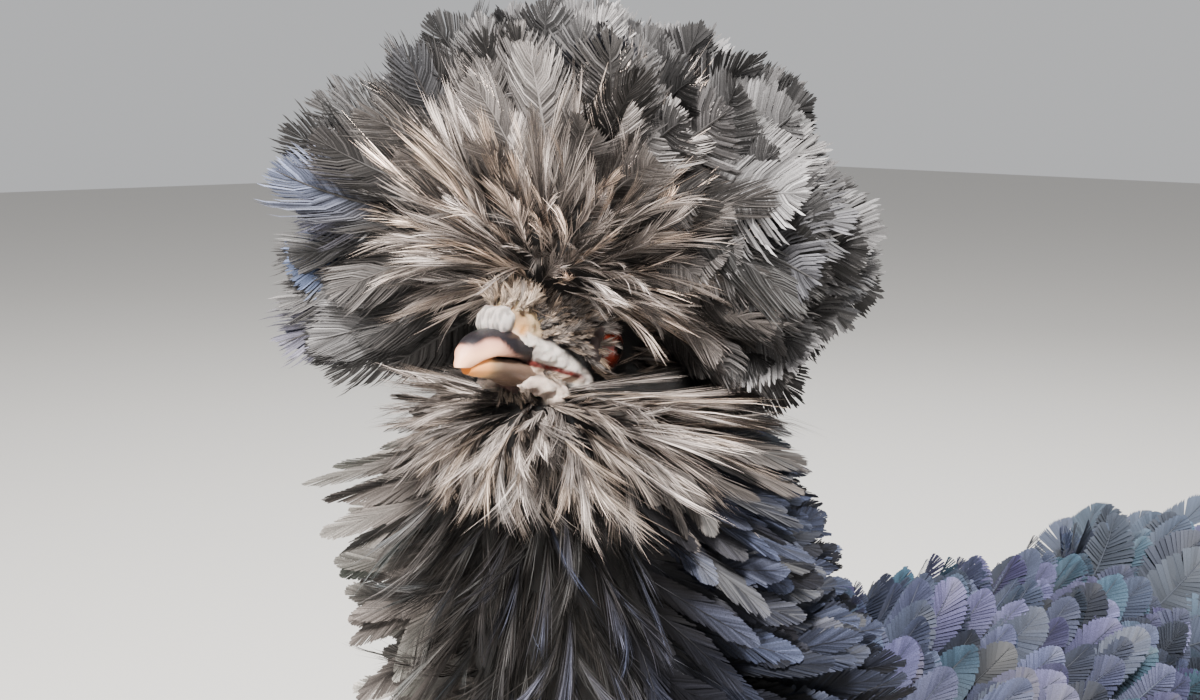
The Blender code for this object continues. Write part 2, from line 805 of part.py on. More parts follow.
def torso_loft():
    def centre(t):
        height = BREAST_HEIGHT - (BREAST_HEIGHT + BELLY_SAG - RUMP_HEIGHT) * t + BELLY_SAG * t**2
        return Vector((0, TORSO_FRONT + TORSO_LENGTH * t, height))

    def sizes(t):
        share = (2 * math.sqrt(max(0.0, t * (1 - t)))) ** 0.9 * (1.06 - 0.12 * t)
        return TORSO_HALF_WIDTH * share, TORSO_HALF_DEPTH * share

    return Loft(centre, sizes, Z_AXIS)


def torso_grown(name="grown torso"):
    return torso_loft().build(name, TORSO_RINGS, TORSO_SIDES, grow=GAP)


def neck_loft():
    def centre(t):
        return bent(NECK_BASE, NECK_BEND, NECK_TOP, t)

    def sizes(t):
        radius = NECK_THIN + NECK_FLARE * (1 - t) ** 1.3
        return radius, radius

    return Loft(centre, sizes, -Y_AXIS)


def ruff_vanes():
    """Lanceolate feathers that part down the middle of the throat and stand out to both sides."""
    made = []
    form = neck_loft()
    ceiling = held_between(HEAD, ceiling=muff_floor)
    floor = held_between(NECK_FRAME, floor=ruff_floor)

    def rule(point):
        return floor(ceiling(point))

    for row in range(RUFF_ROWS):
        t = RUFF_START + (RUFF_END - RUFF_START) * row / (RUFF_ROWS - 1)
        front = Vector((math.sin(HEAD_TURN * t), -math.cos(HEAD_TURN * t), 0))
        for column in range(RUFF_COLUMNS):
            angle = 2 * math.pi * (column + 0.5 * (row % 2)) / RUFF_COLUMNS + RNG.uniform(-0.08, 0.08)
            root, out, along = form.surface(t, angle)
            frontness = max(0.0, Vector((out.x, out.y, 0)).normalized().dot(front))
            aside = out.cross(along).normalized()
            if aside.dot(front) > 0:
                aside.negate()
            sideways = (0.35 + 0.75 * frontness) * (1 - frontness**8)
            lie = aside * sideways - along * (1.0 - 0.35 * frontness)
            lift, curl = vary(50 - 14 * frontness, 0.05), RNG.uniform(10, 24)
            length = vary(RUFF_LENGTH * (1 - 0.3 * t), 0.08)
            width = vary(RUFF_WIDTH, 0.08)
            made.append(vane(root - out * ROOT_DEPTH, out, lie, lift, curl, length, width, LANCE, rule))
    return made


def neck(finish):
    RNG.seed("neck")
    core = neck_loft().build("neck", NECK_RINGS, NECK_SIDES, finish=finish, pointed=False)
    coated(core, ruff_vanes())
    cut(
        core,
        beyond_surface("muff side", muff_floor, HEAD, above=True, shift=-GAP),
        beyond_surface("torso side", ruff_floor, NECK_FRAME, above=False),
        skull_grown(),
        torso_grown(),
    )


def body_vanes():
    """The frizzled coat: broad feathers that rise from the skin and curl forward at their tips."""
    made = []
    form = torso_loft()
    for row in range(BODY_ROWS):
        t = BODY_START + (BODY_END - BODY_START) * (row / (BODY_ROWS - 1)) ** 1.1
        for column in range(BODY_COLUMNS):
            angle = 2 * math.pi * (column + 0.5 * (row % 2)) / BODY_COLUMNS + RNG.uniform(-0.06, 0.06)
            root, out, along = form.surface(t, angle)
            local = NECK_FRAME.inverted() @ root
            under_ruff = root.z > ruff_floor(*polar_place(local)) - 0.009
            if (under_ruff and local.y < NAPE_END) or in_wing_room(root) or in_thigh_room(root):
                continue
            if (root - TAIL_ROOT).dot(TAIL_AXIS) > -0.006:
                continue
            backward = smooth_step(t, 0.02, 0.30)
            lie = along * backward - Z_AXIS * (1.02 - backward)
            topness = max(0.0, out.z)
            lift, curl = vary(20, 0.10), vary(16 + 18 * backward + 12 * topness, 0.12)
            length, width = vary(BODY_LENGTH, 0.08), vary(BODY_WIDTH, 0.06)
            made.append(vane(root - out * ROOT_DEPTH, out, lie, lift, curl, length, width, BROAD))
    return made


def in_wing_room(point):
    return abs(point.x) > WING_INSIDE and WING_FRONT < point.y < WING_BACK and WING_LOW < point.z < WING_HIGH


def in_thigh_room(point):
    aside, ahead = abs(abs(point.x) - THIGH_TOP.x), abs(point.y - THIGH_TOP.y)
    return aside < 0.024 and ahead < 0.030 and point.z < WING_LOW


def wing_room(sign, grow):
    low = (WING_INSIDE - grow, WING_FRONT - grow, WING_LOW - grow)
    high = (0.2, WING_BACK + grow, WING_HIGH + grow)
    if sign < 0:
        low, high = (-high[0], low[1], low[2]), (-low[0], high[1], high[2])
    return box("wing room", low, high)


def thigh_room(sign, grow=0.0):
    """The room of a thigh's feathers."""
    top, hock = mirrored(THIGH_TOP, sign), mirrored(HOCK, sign)
    rows = [
        (top + (top - hock) * 0.35, 0.034, 0.040),
        (top.lerp(hock, 0.35), 0.034, 0.040),
        (top.lerp(hock, 0.8), 0.027, 0.034),
        (hock, 0.019, 0.024),
    ]
    return stations_loft(rows, up=-Y_AXIS).build("thigh room", 3, 12, grow=grow, pointed=False)


def torso(finish):
    RNG.seed("torso")
    core = torso_loft().build("torso", TORSO_RINGS, TORSO_SIDES, finish=finish)
    rooms = [room(sign, GAP) for room in (wing_room, thigh_room) for sign in SIDES.values()]
    coated(core, body_vanes(), clear_of=rooms)
    cut(
        core,
        beyond_surface("ruff", ruff_floor, NECK_FRAME, above=True, shift=-GAP, reach=RUFF_ROOM),
        half_space("tail side", TAIL_ROOT - TAIL_AXIS * GAP, TAIL_AXIS),
    )


def wing_skin(y, z):
    """How far from the middle the flank lies at a place."""
    t = min(0.86, max(0.06, (y - TORSO_FRONT) / TORSO_LENGTH))
    form = torso_loft()
    wide, deep = form.halves(t)
    share = min(0.9, abs(z - form.centre(t).z) / deep)
    return wide * math.sqrt(1 - share**2)


def wing_vanes(sign):
    """Tiers of feathers from the shoulder to the flight feathers, each one tucked under the next one up."""
    made = []

    def rule(point):
        nearest = wing_skin(point.y, point.z) + 0.0020
        return Vector((sign * max(abs(point.x), nearest), min(point.y, WING_BACK - 0.003), point.z))

    for tier_y, low, high, count, length, width, lift in WING_TIERS:
        for k in range(count):
            share = (k + 0.5) / count
            z = low + (high - low) * share
            y = tier_y - 0.010 * (1 - (2 * share - 1) ** 2)
            start = Vector((sign * (wing_skin(y, z) + 0.0035), y, z))
            lie = Vector((0, 1, WING_SLOPE + 0.16 * share))
            tucked = Vector((sign, 0, math.tan(SHINGLE_TILT)))
            made.append(vane(start, tucked, lie, lift, 6, vary(length, 0.05), width, LANCE, rule))
    return made


def wing(side, sign, finish):
    RNG.seed("wing " + side)
    core = ellipsoid_loft(mirrored(WING_AT, sign), WING_HALVES).build("wing_" + side, 8, 12, finish=finish)
    coated(core, wing_vanes(sign), inside=wing_room(sign, 0.0))
    cut(
        core,
        beyond_surface("ruff", ruff_floor, NECK_FRAME, above=True, shift=-GAP, reach=RUFF_ROOM),
        torso_grown(),
        thigh_loft(sign).build("thigh", 4, 12, grow=GAP, pointed=False),
        half_space("tail side", TAIL_ROOT - TAIL_AXIS * GAP, TAIL_AXIS),
    )


def tail_vanes():
    """The tail feathers, each tucked under the one nearer the middle, with curled coverts on their roots."""
    made = []
    up = X_AXIS.cross(TAIL_AXIS)
    for k in range(TAIL_VANES):
        place = k - (TAIL_VANES - 1) / 2
        spread = math.radians(place * TAIL_FAN + 0.4)
        tilt = math.copysign(SHINGLE_TILT, place)
        out = up * math.cos(tilt) + X_AXIS * math.sin(tilt)
        lie = TAIL_AXIS * math.cos(spread) + X_AXIS * math.sin(spread)
        start = TAIL_ROOT + X_AXIS * (0.0028 * place + 0.0004) + TAIL_AXIS * 0.004
        start -= up * (0.0016 * abs(place) - 0.003)
        length = vary(TAIL_LENGTH * (1 - 0.02 * abs(place)), 0.03)
        made.append(vane(start, out, lie, 0.5, 6, length, TAIL_WIDTH, BROAD))
    for k in range(TAIL_COVERTS):
        angle = 2 * math.pi * (k + 0.25) / TAIL_COVERTS
        out = X_AXIS * math.cos(angle) + up * math.sin(angle)
        start = TAIL_ROOT + X_AXIS * (0.018 * math.cos(angle)) + up * (0.016 * math.sin(angle) - 0.008)
        start += TAIL_AXIS * 0.006
        lift, curl, length = vary(20, 0.1), vary(40, 0.2), vary(COVERT_LENGTH, 0.1)
        made.append(vane(start, out, TAIL_AXIS, lift, curl, length, TAIL_WIDTH, BROAD))
    return made


def tail(finish):
    RNG.seed("tail")
    up = X_AXIS.cross(TAIL_AXIS)
    rows = []
    for along, rise, wide, high in TAIL_CORE_ROWS:
        rows.append((TAIL_ROOT + TAIL_AXIS * along + up * rise, wide, high))
    core = stations_loft(rows, up=up).build("tail", 6, 14, finish=finish, pointed=False)
    coated(core, tail_vanes())
    cut(core, half_space("torso side", TAIL_ROOT, -TAIL_AXIS))


# Legs


def thigh_loft(sign):
    top, hock = mirrored(THIGH_TOP, sign), mirrored(HOCK, sign)
    rows = [
        (top, 0.025, 0.030),
        (top.lerp(hock, 0.35), 0.0235, 0.029),
        (top.lerp(hock, 0.7), 0.017, 0.021),
        (hock, 0.0095, 0.0115),
    ]
    return stations_loft(rows, up=-Y_AXIS)


def thigh_vanes(sign):
    made = []
    form = thigh_loft(sign)
    for row, t in enumerate(THIGH_ROWS):
        for column in range(THIGH_COLUMNS):
            angle = 2 * math.pi * (column + 0.5 * (row % 2)) / THIGH_COLUMNS
            root, out, along = form.surface(t, angle)
            lift, curl = vary(16, 0.2), vary(24, 0.3)
            length, width = vary(THIGH_VANE_LENGTH, 0.1), vary(THIGH_VANE_WIDTH, 0.1)
            made.append(vane(root - out * SMALL_ROOT_DEPTH, out, along, lift, curl, length, width, LANCE))
    return made


def shank_loft(sign):
    hock, foot = mirrored(HOCK, sign), mirrored(FOOT, sign)
    rows = [
        (hock + Z_AXIS * 0.004, 0.0058, 0.0064),
        (hock - Z_AXIS * 0.003, 0.0066, 0.0078),
        (hock.lerp(foot, 0.18), 0.0050, 0.0060),
        (hock.lerp(foot, 0.5), 0.0043, 0.0050),
        (hock.lerp(foot, 0.85), 0.0049, 0.0056),
        (foot, 0.0072, 0.0080),
        (foot - Z_AXIS * 0.0085, 0.0066, 0.0074),
    ]
    return stations_loft(rows, up=-Y_AXIS)


def below(name, height):
    return box(name, (-0.2, -0.2, -0.1), (0.2, 0.2, height))


def toe_line(toe, sign):
    """Where a toe starts and ends, and its heading over the floor."""
    angle, length = TOES[toe]
    heading = math.radians(angle)
    ahead = Vector((sign * math.sin(heading), -math.cos(heading), 0))
    start = mirrored(FOOT, sign) + ahead * 0.002
    start.z = TOE_RADIUS * 0.92
    end = start + ahead * length
    end.z = TOE_END_RADIUS * 0.92
    return start, end, ahead


def toe_loft(toe, sign):
    start, end, _ = toe_line(toe, sign)
    rows = [
        (start, TOE_RADIUS * 0.95, TOE_RADIUS),
        (start.lerp(end, 0.5), TOE_RADIUS, TOE_RADIUS * 0.92),
        (end, TOE_END_RADIUS, TOE_END_RADIUS),
    ]
    return stations_loft(rows)


def leg(side, sign, feather_finish, scale_finish, claw_finish):
    RNG.seed("leg " + side)
    joint = HOCK.z + 0.0015
    core = thigh_loft(sign).build("thigh_" + side, 4, 12, finish=feather_finish, pointed=False)
    coated(core, thigh_vanes(sign), inside=thigh_room(sign))
    cut(core, torso_grown(), below("below hock", joint))
    made = shank_loft(sign).build("shank_" + side, 12, 8, finish=scale_finish, pointed=False)
    cut(made, box("above hock", (-0.2, -0.2, joint - GAP), (0.2, 0.2, 0.3)), below("floor", 0))
    foot = mirrored(FOOT, sign)
    for toe in TOES:
        made = toe_loft(toe, sign).build(f"toe_{side}_{toe}", 3, 8, finish=scale_finish, pointed=False)
        pad_rows = [(foot + Z_AXIS * h, 0.0078, 0.0086) for h in (0.02, -0.02)]
        cutters = [stations_loft(pad_rows, up=-Y_AXIS).build("pad", 1, 10, grow=GAP, pointed=False)]
        if toe in ("inner", "outer"):
            cutters.append(toe_loft("middle", sign).build("middle", 3, 8, grow=GAP, pointed=False))
        cut(made, *cutters, below("floor", 0))
        claw(f"claw_{side}_{toe}", toe, sign, claw_finish)


def claw(name, toe, sign, finish):
    _, end, ahead = toe_line(toe, sign)
    base = end + ahead * GAP
    tip = base + ahead * CLAW_LENGTH
    tip.z = 0.0006
    rows = [
        (base, TOE_END_RADIUS * 0.8, TOE_END_RADIUS * 0.85),
        (base.lerp(tip, 0.5) + Z_AXIS * 0.0007, TOE_END_RADIUS * 0.5, TOE_END_RADIUS * 0.55),
        (tip, 0.0004, 0.0005),
    ]
    made = stations_loft(rows).build(name, 2, 6, finish=finish, pointed=False)
    cut(made, below("floor", 0))


def main():
    for old in list(bpy.data.objects):
        bpy.data.objects.remove(old)
    plumage = material("black plumage", (0.018, 0.018, 0.022), 0.55)
    skin = material("face skin", (0.55, 0.30, 0.25), 0.55)
    horn = material("bill horn", (0.42, 0.27, 0.22), 0.35)
    iris = material("orange eye", (0.45, 0.09, 0.02), 0.15)
    scales = material("slate scales", (0.06, 0.07, 0.08), 0.45)
    claws = material("dark horn", (0.10, 0.09, 0.09), 0.35)
    head(skin, iris)
    bill(horn)
    crest(plumage)
    beard_and_muffs(plumage)
    neck(plumage)
    torso(plumage)
    tail(plumage)
    for side, sign in SIDES.items():
        wing(side, sign, plumage)
        leg(side, sign, plumage, scales, claws)
    for made in bpy.data.objects:
        made.data.transform(Matrix.Translation(-BOX_MIDDLE))
        made.data.shade_smooth()
        made.data.set_sharp_from_angle(angle=math.radians(40))


main()
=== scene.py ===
"""Looks of a frizzled black Padovana hen: skin, bill, eyes, legs and a coat built feather by feather.

The frame gives where the solids are. The anatomy's own frame is the one that the named places below are in:
the hen's body looks along -Y and its left side is +X. The head frame has x to the hen's left, y to the back
of the head and z up.
"""

import math

import bmesh
import bpy
import numpy as np
from mathutils import Matrix, Vector


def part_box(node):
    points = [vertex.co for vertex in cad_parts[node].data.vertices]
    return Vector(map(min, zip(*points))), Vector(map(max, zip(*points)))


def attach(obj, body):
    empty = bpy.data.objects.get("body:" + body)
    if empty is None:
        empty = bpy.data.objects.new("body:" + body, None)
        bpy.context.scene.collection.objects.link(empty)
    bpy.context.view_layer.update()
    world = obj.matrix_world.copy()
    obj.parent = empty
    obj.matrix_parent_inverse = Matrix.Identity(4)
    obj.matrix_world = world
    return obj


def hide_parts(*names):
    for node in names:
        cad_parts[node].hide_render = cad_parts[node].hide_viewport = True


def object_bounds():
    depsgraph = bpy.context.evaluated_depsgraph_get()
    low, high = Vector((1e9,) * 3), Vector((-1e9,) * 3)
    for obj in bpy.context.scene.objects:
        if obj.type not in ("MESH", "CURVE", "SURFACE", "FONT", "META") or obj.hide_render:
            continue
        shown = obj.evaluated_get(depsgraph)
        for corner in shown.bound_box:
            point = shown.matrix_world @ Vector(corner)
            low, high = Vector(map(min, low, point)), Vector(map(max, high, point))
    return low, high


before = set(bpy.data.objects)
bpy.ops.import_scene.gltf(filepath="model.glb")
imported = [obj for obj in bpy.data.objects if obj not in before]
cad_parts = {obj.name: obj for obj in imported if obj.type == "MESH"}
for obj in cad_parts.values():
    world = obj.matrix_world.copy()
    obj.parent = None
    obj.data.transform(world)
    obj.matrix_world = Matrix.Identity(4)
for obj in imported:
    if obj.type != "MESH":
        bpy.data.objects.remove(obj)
CAD_BOX = [list(corner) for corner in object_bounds()]
RNG = np.random.default_rng(7)

GOLDEN_ANGLE = math.pi * (3 - math.sqrt(5))
SIDES = {"left": 1, "right": -1}
UP = np.array([0.0, 0.0, 1.0])

# Head
HEAD_AT = np.array([0.0, -0.086, 0.322])
HEAD_RAISE = math.radians(10.0)
EYE_AT = np.array([0.0085, -0.0045, 0.0000])
EYE_RADIUS = 0.0066
LID_AT = 0.0127
LID_RADIUS = 0.0053

# Crest, beard and muffs: an inner form, and the outline that the tips reach
CREST_CORE_AT = np.array([0.0, 0.004, 0.027])
CREST_CORE_HALVES = np.array([0.031, 0.031, 0.023])
CREST_AT = np.array([-0.0040, 0.002, 0.0170])
CREST_HALVES = np.array([0.069, 0.064, 0.0545])
# The lower half of the outline is this much deeper, as the crest hangs at its sides
CREST_HANG = 1.3
CREST_POLE_RISE = math.radians(-42)
CREST_SPREAD = math.radians(176)
BEARD_CORE_AT = np.array([0.0, 0.0, -0.0190])
BEARD_CORE_HALVES = np.array([0.0270, 0.0230, 0.0110])
BEARD_AT = np.array([0.007, 0.004, -0.018])
BEARD_HALVES = np.array([0.0480, 0.0440, 0.0320])
BEARD_POLE_RISE = math.radians(38)
BEARD_SPREAD = math.radians(150)
MUFF_END_ANGLE = math.radians(150)
MUFF_TOP = -0.0088
# Parting surfaces: the height on the axis, the slope outwards, and the slope to the front
CREST_EDGE = (0.0118, -0.42, 0.32)
BEARD_EDGE = (-0.0130, -0.52, -0.10)
BEHIND_EARS = (math.radians(105), math.radians(150))

# Torso and neck
TORSO_FRONT = -0.098
TORSO_LENGTH = 0.220
TORSO_HALF_WIDTH = 0.061
TORSO_HALF_DEPTH = 0.054
BREAST_HEIGHT = 0.178
RUMP_HEIGHT = 0.198
BELLY_SAG = 0.076
NECK_BASE = np.array([0.0, -0.050, 0.176])
NECK_BEND = np.array([0.0, -0.074, 0.250])
NECK_THIN = 0.025
NECK_FLARE = 0.021

# Wings, tail and legs
WING_INSIDE = 0.040
WING_LOW, WING_HIGH = 0.143, 0.216
WING_FRONT, WING_BACK = -0.066, 0.108
WING_SLOPE = -0.20
TAIL_RISE = math.radians(9)
TAIL_AXIS = np.array([0.0, math.cos(TAIL_RISE), math.sin(TAIL_RISE)])
TAIL_UP = np.array([0.0, -math.sin(TAIL_RISE), math.cos(TAIL_RISE)])
TAIL_ROOT = np.array([0.0, 0.108, 0.209])
TAIL_LENGTH = 0.106
HOCK = np.array([0.041, 0.022, 0.090])
FOOT = np.array([0.041, -0.002, 0.0085])
THIGH_TOP = np.array([0.036, -0.004, 0.146])
TAIL_FEATHERS = 13
TAIL_FAN = 4.4  # degrees from one tail feather to the next
# Rows of (distance along the tail, height over its line, half width, half height)
TAIL_CORE_ROWS = (
    (-0.020, -0.017, 0.029, 0.028),
    (0.000, -0.016, 0.028, 0.027),
    (0.014, -0.010, 0.021, 0.018),
    (0.034, 0.000, 0.011, 0.005),
)
# Rows of (share of the way from the thigh's top to the hock, half width, half height)
THIGH_ROWS = ((0, 0.025, 0.030), (0.35, 0.0235, 0.029), (0.7, 0.017, 0.021), (1, 0.0095, 0.0115))
# Toes as (degrees outwards from straight ahead, length)
TOES = {"inner": (-34, 0.038), "middle": (3, 0.050), "outer": (38, 0.042), "hind": (168, 0.019)}
TOE_RADIUS = 0.0046
TOE_END_RADIUS = 0.0029
# Rows of (share of the toe's length, thickness as a share of TOE_RADIUS)
TOE_ROWS = ((0, 0.96), (0.22, 0.92), (0.36, 1.05), (0.5, 0.90), (0.66, 0.98), (0.8, 0.78), (1, 0.66))
TOE_PLATE = 0.0032
CLAW_LENGTH = 0.011

# Across a feather's patch in the map for baking
PATCH = 0.003
# How far the coat may pass the box of the solids
SPARE_ROOM = 0.012

# Wing feathers stand in for the body's from here inwards
WING_OVERLAP = 0.012
# To the right across the photo's view, and the way that the near side of the neck faces
ACROSS_VIEW = np.array([0.616, 0.788, 0.0])
NEAR_SIDE = np.array([0.62, -0.78, 0.0])

# Photo's view: lens on a 36 mm sensor, and where the eyes' middle lies in a 1200 x 700 picture
VIEW_AZIMUTH = math.radians(52)
VIEW_PITCH = math.radians(10)
FOCAL_PIXELS = 1400
PICTURE = (1200, 700)
EYES_PIXEL = (565, 343)
EYES_DEPTH = 0.295


def unit(v):
    return v / np.maximum(np.linalg.norm(v, axis=-1, keepdims=True), 1e-12)


def node_middle(name):
    low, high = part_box(name)
    return (np.array(low) + np.array(high)) / 2


def head_axes():
    """The head frame's axes as rows, from the line between the eyes of the frame."""
    across = unit(node_middle("eye_left") - node_middle("eye_right"))
    back = np.cross(UP, across)
    rise = math.cos(HEAD_RAISE), math.sin(HEAD_RAISE)
    return np.array([across, back * rise[0] - UP * rise[1], back * rise[1] + UP * rise[0]])


HEAD_AXES = head_axes()
# From the anatomy's frame to the model's
SHIFT = (node_middle("eye_left") + node_middle("eye_right")) / 2 - HEAD_AT - EYE_AT * (0, 1, 1) @ HEAD_AXES
NECK_TOP = HEAD_AT + np.array([0.0, 0.005, -0.006]) @ HEAD_AXES


def to_head(points):
    return (points - HEAD_AT) @ HEAD_AXES.T


def from_head(points):
    return points @ HEAD_AXES + HEAD_AT


def smooth_step(x, low, high):
    t = np.clip((x - low) / (high - low), 0, 1)
    return t * t * (3 - 2 * t)


# Meshes


def add_object(name, data, material=None):
    made = bpy.data.objects.new(name, data)
    bpy.context.scene.collection.objects.link(made)
    if material:
        data.materials.append(material)
    return made


def paint(mesh, colours):
    layer = mesh.attributes.new("plume", "FLOAT_COLOR", "POINT")
    full = np.ones((len(colours), 4), np.float32)
    full[:, :3] = colours
    layer.data.foreach_set("color", full.ravel())


def settle(piece, slot, *replaced):
    """Fixes a piece to the still model, in place of the nodes replaced."""
    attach(piece, "root")
    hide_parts(*replaced)


def new_mesh(name, points, faces, material):
    """A piece from points in the anatomy's frame and faces of 3 or 4 corners."""
    mesh = bpy.data.meshes.new(name)
    mesh.from_pydata((np.asarray(points) + SHIFT).tolist(), [], [tuple(f) for f in faces])
    mesh.validate()
    editor = bmesh.new()
    editor.from_mesh(mesh)
    bmesh.ops.recalc_face_normals(editor, faces=editor.faces)
    editor.to_mesh(mesh)
    editor.free()
    mesh.polygons.foreach_set("use_smooth", [True] * len(mesh.polygons))
    return add_object(name, mesh, material)


def solid_piece(name, points, faces, colours, material, slot, *replaced):
    """A painted piece that stands for the nodes replaced."""
    made = new_mesh(name, points, faces, material)
    paint(made.data, colours)
    settle(made, slot, *replaced)


def tube_faces(rings, sides):
    """Faces of a closed tube of rings, with both ends filled."""
    faces = []
    for k in range(rings - 1):
        for j in range(sides):
            a, b = k * sides + j, k * sides + (j + 1) % sides
            faces.append((a, b, b + sides, a + sides))
    faces.append(tuple(range(sides))[::-1])
    faces.append(tuple(range((rings - 1) * sides, rings * sides)))
    return faces


def tri_mesh(name, points, triangles, uvs, colours, material):
    """A coat piece from arrays, with its colours at the points and its patches in OFBake."""
    mesh = bpy.data.meshes.new(name)
    mesh.vertices.add(len(points))
    mesh.vertices.foreach_set("co", (points + SHIFT).astype(np.float32).ravel())
    mesh.loops.add(3 * len(triangles))
    mesh.loops.foreach_set("vertex_index", triangles.astype(np.int32).ravel())
    mesh.polygons.add(len(triangles))
    mesh.polygons.foreach_set("loop_start", np.arange(0, 3 * len(triangles), 3, dtype=np.int32))
    mesh.polygons.foreach_set("use_smooth", np.ones(len(triangles), dtype=bool))
    mesh.update(calc_edges=True)
    layer = mesh.uv_layers.new(name="OFBake")
    layer.uv.foreach_set("vector", uvs[triangles.ravel()].astype(np.float32).ravel())
    paint(mesh, colours)
    return add_object(name, mesh, material)


def in_room(points):
    """Points pressed back where they pass the box of the solids by more than SPARE_ROOM."""
    low, high = (np.array(corner) - SHIFT for corner in CAD_BOX)
    within = np.clip(points, low - SPARE_ROOM, high + SPARE_ROOM)
    return within + (points - within) * 0.15


# Forms that the coat grows on


class Loft:
    """A round form along a line: centre(t) and halves(t) for an array t from 0 to 1."""

    def __init__(self, centre, halves, up):
        self.centre, self.halves, self.up = centre, halves, np.asarray(up, float)

    def point(self, t, angle):
        step = 0.002
        along = unit(self.centre(np.minimum(1, t + step)) - self.centre(np.maximum(0, t - step)))
        up = unit(self.up - along * (along @ self.up)[..., None])
        side = np.cross(along, up)
        wide, high = self.halves(t)
        ring = side * (wide * np.cos(angle))[..., None] + up * (high * np.sin(angle))[..., None]
        return self.centre(t) + ring

    def surface(self, t, angle):
        """Points on the form, the way out of it there, and the way along it."""
        step = 0.01
        here = self.point(t, angle)
        along = self.point(np.minimum(0.99, t + step), angle) - self.point(np.maximum(0.01, t - step), angle)
        around = self.point(t, angle + step) - self.point(t, angle - step)
        out = unit(np.cross(around, along))
        flip = np.sign(np.sum(out * (here - self.centre(t)), axis=-1, keepdims=True))
        return here, out * flip, unit(along)

    def grid(self, rings, sides, low=0.0, high=1.0):
        t = np.repeat(low + (high - low) * (1 - np.cos(np.linspace(0, math.pi, rings))) / 2, sides)
        angle = np.tile(np.linspace(0, 2 * math.pi, sides, endpoint=False), rings)
        return self.point(np.clip(t, 0.002, 0.998), angle)


def ellipsoid_loft(at, halves):
    def centre(t):
        return at + np.array([0, 1, 0]) * (halves[1] * (2 * t - 1))[..., None]

    def sizes(t):
        share = np.sqrt(np.maximum(0, 1 - (2 * t - 1) ** 2))
        return halves[0] * share, halves[2] * share

    return Loft(centre, sizes, UP)


def rows_loft(rows, up=UP):
    """A smooth Loft through rows of (x, y, z, half width, half height)."""
    rows = np.array(rows, float)
    last = len(rows) - 1

    def read(t):
        at = np.clip(t, 0, 1) * last
        k = np.minimum(at.astype(int), last - 1)
        f = (at - k)[..., None]
        a, b = rows[np.maximum(k - 1, 0)], rows[k]
        c, d = rows[k + 1], rows[np.minimum(k + 2, last)]
        return b + f * 0.5 * (c - a + f * (2 * a - 5 * b + 4 * c - d + f * (3 * (b - c) + d - a)))

    return Loft(lambda t: read(t)[..., :3], lambda t: (read(t)[..., 3], read(t)[..., 4]), up)


def torso_loft():
    def centre(t):
        high = BREAST_HEIGHT - (BREAST_HEIGHT + BELLY_SAG - RUMP_HEIGHT) * t + BELLY_SAG * t**2
        return np.stack([0 * t, TORSO_FRONT + TORSO_LENGTH * t, high], axis=-1)

    def sizes(t):
        share = (2 * np.sqrt(np.maximum(0, t * (1 - t)))) ** 0.9 * (1.06 - 0.12 * t)
        return TORSO_HALF_WIDTH * share, TORSO_HALF_DEPTH * share

    return Loft(centre, sizes, UP)


def neck_loft():
    def centre(t):
        t = t[..., None]
        return NECK_BASE * (1 - t) ** 2 + NECK_BEND * 2 * t * (1 - t) + NECK_TOP * t**2

    def sizes(t):
        radius = NECK_THIN + NECK_FLARE * (1 - t) ** 1.3
        return radius, radius

    return Loft(centre, sizes, (0, -1, 0))


def sloped(edge, radius, angle):
    high, outward, forward = edge
    return high + outward * radius + forward * radius * np.cos(angle)


def crest_floor(radius, angle):
    return sloped(CREST_EDGE, radius, angle)


def muff_ceiling(radius, angle):
    return np.minimum(crest_floor(radius, angle), MUFF_TOP)


def muff_floor(radius, angle):
    behind = smooth_step(np.abs(angle), *BEHIND_EARS)
    return sloped(BEARD_EDGE, radius, angle) * (1 - behind) + crest_floor(radius, angle) * behind


def polar_place(points):
    """Distances from the upright axis, and angles from the front."""
    return np.hypot(points[..., 0], points[..., 1]), np.arctan2(points[..., 0], -points[..., 1])


def held(points, surface, give, over):
    """Points of the head frame pressed to a parting surface: those below it if over, or else those above."""
    level, z = surface(*polar_place(points)), points[..., 2]
    past = z < level if over else z > level
    moved = points.copy()
    moved[..., 2] = np.where(past, level + (z - level) * give, z)
    return moved


# Feathers


class Style:
    """How a kind of feather is built.

    barbs: on each side; start and stop: where on the shaft the first and last barb grow; turn: share of the
    barbs that end along the straight edge; tip: how pointed the end is, 1 is round; gather: how far barbs
    cling together in locks; fray: how uneven their lengths are; droop: how far the vane hangs at its sides;
    tilt: how unevenly barbs are turned; firm: how far along a barb it stays wide; streak: how much lighter
    and darker barbs are than each other; bow: how far they bend to the tip; close: how much of the room
    between barbs they fill; keel: how far the vane folds at the shaft.
    """

    def __init__(
        self, barbs, start=0.08, stop=0.92, turn=0.26, tip=0.95, gather=0.14, fray=0.05, droop=0.14,
        tilt=0.20, firm=0.85, streak=0.34, bow=0.18, close=1.0, keel=0.0,
    ):
        self.barbs, self.start, self.stop, self.turn, self.tip = barbs, start, stop, turn, tip
        self.gather, self.fray, self.droop, self.tilt = gather, fray, droop, tilt
        self.firm, self.streak, self.bow, self.close, self.keel = firm, streak, bow, close, keel
        self.stations = (0.0, firm, 1.0) if bow < 0.3 else (0.0, 0.4, firm, 1.0)


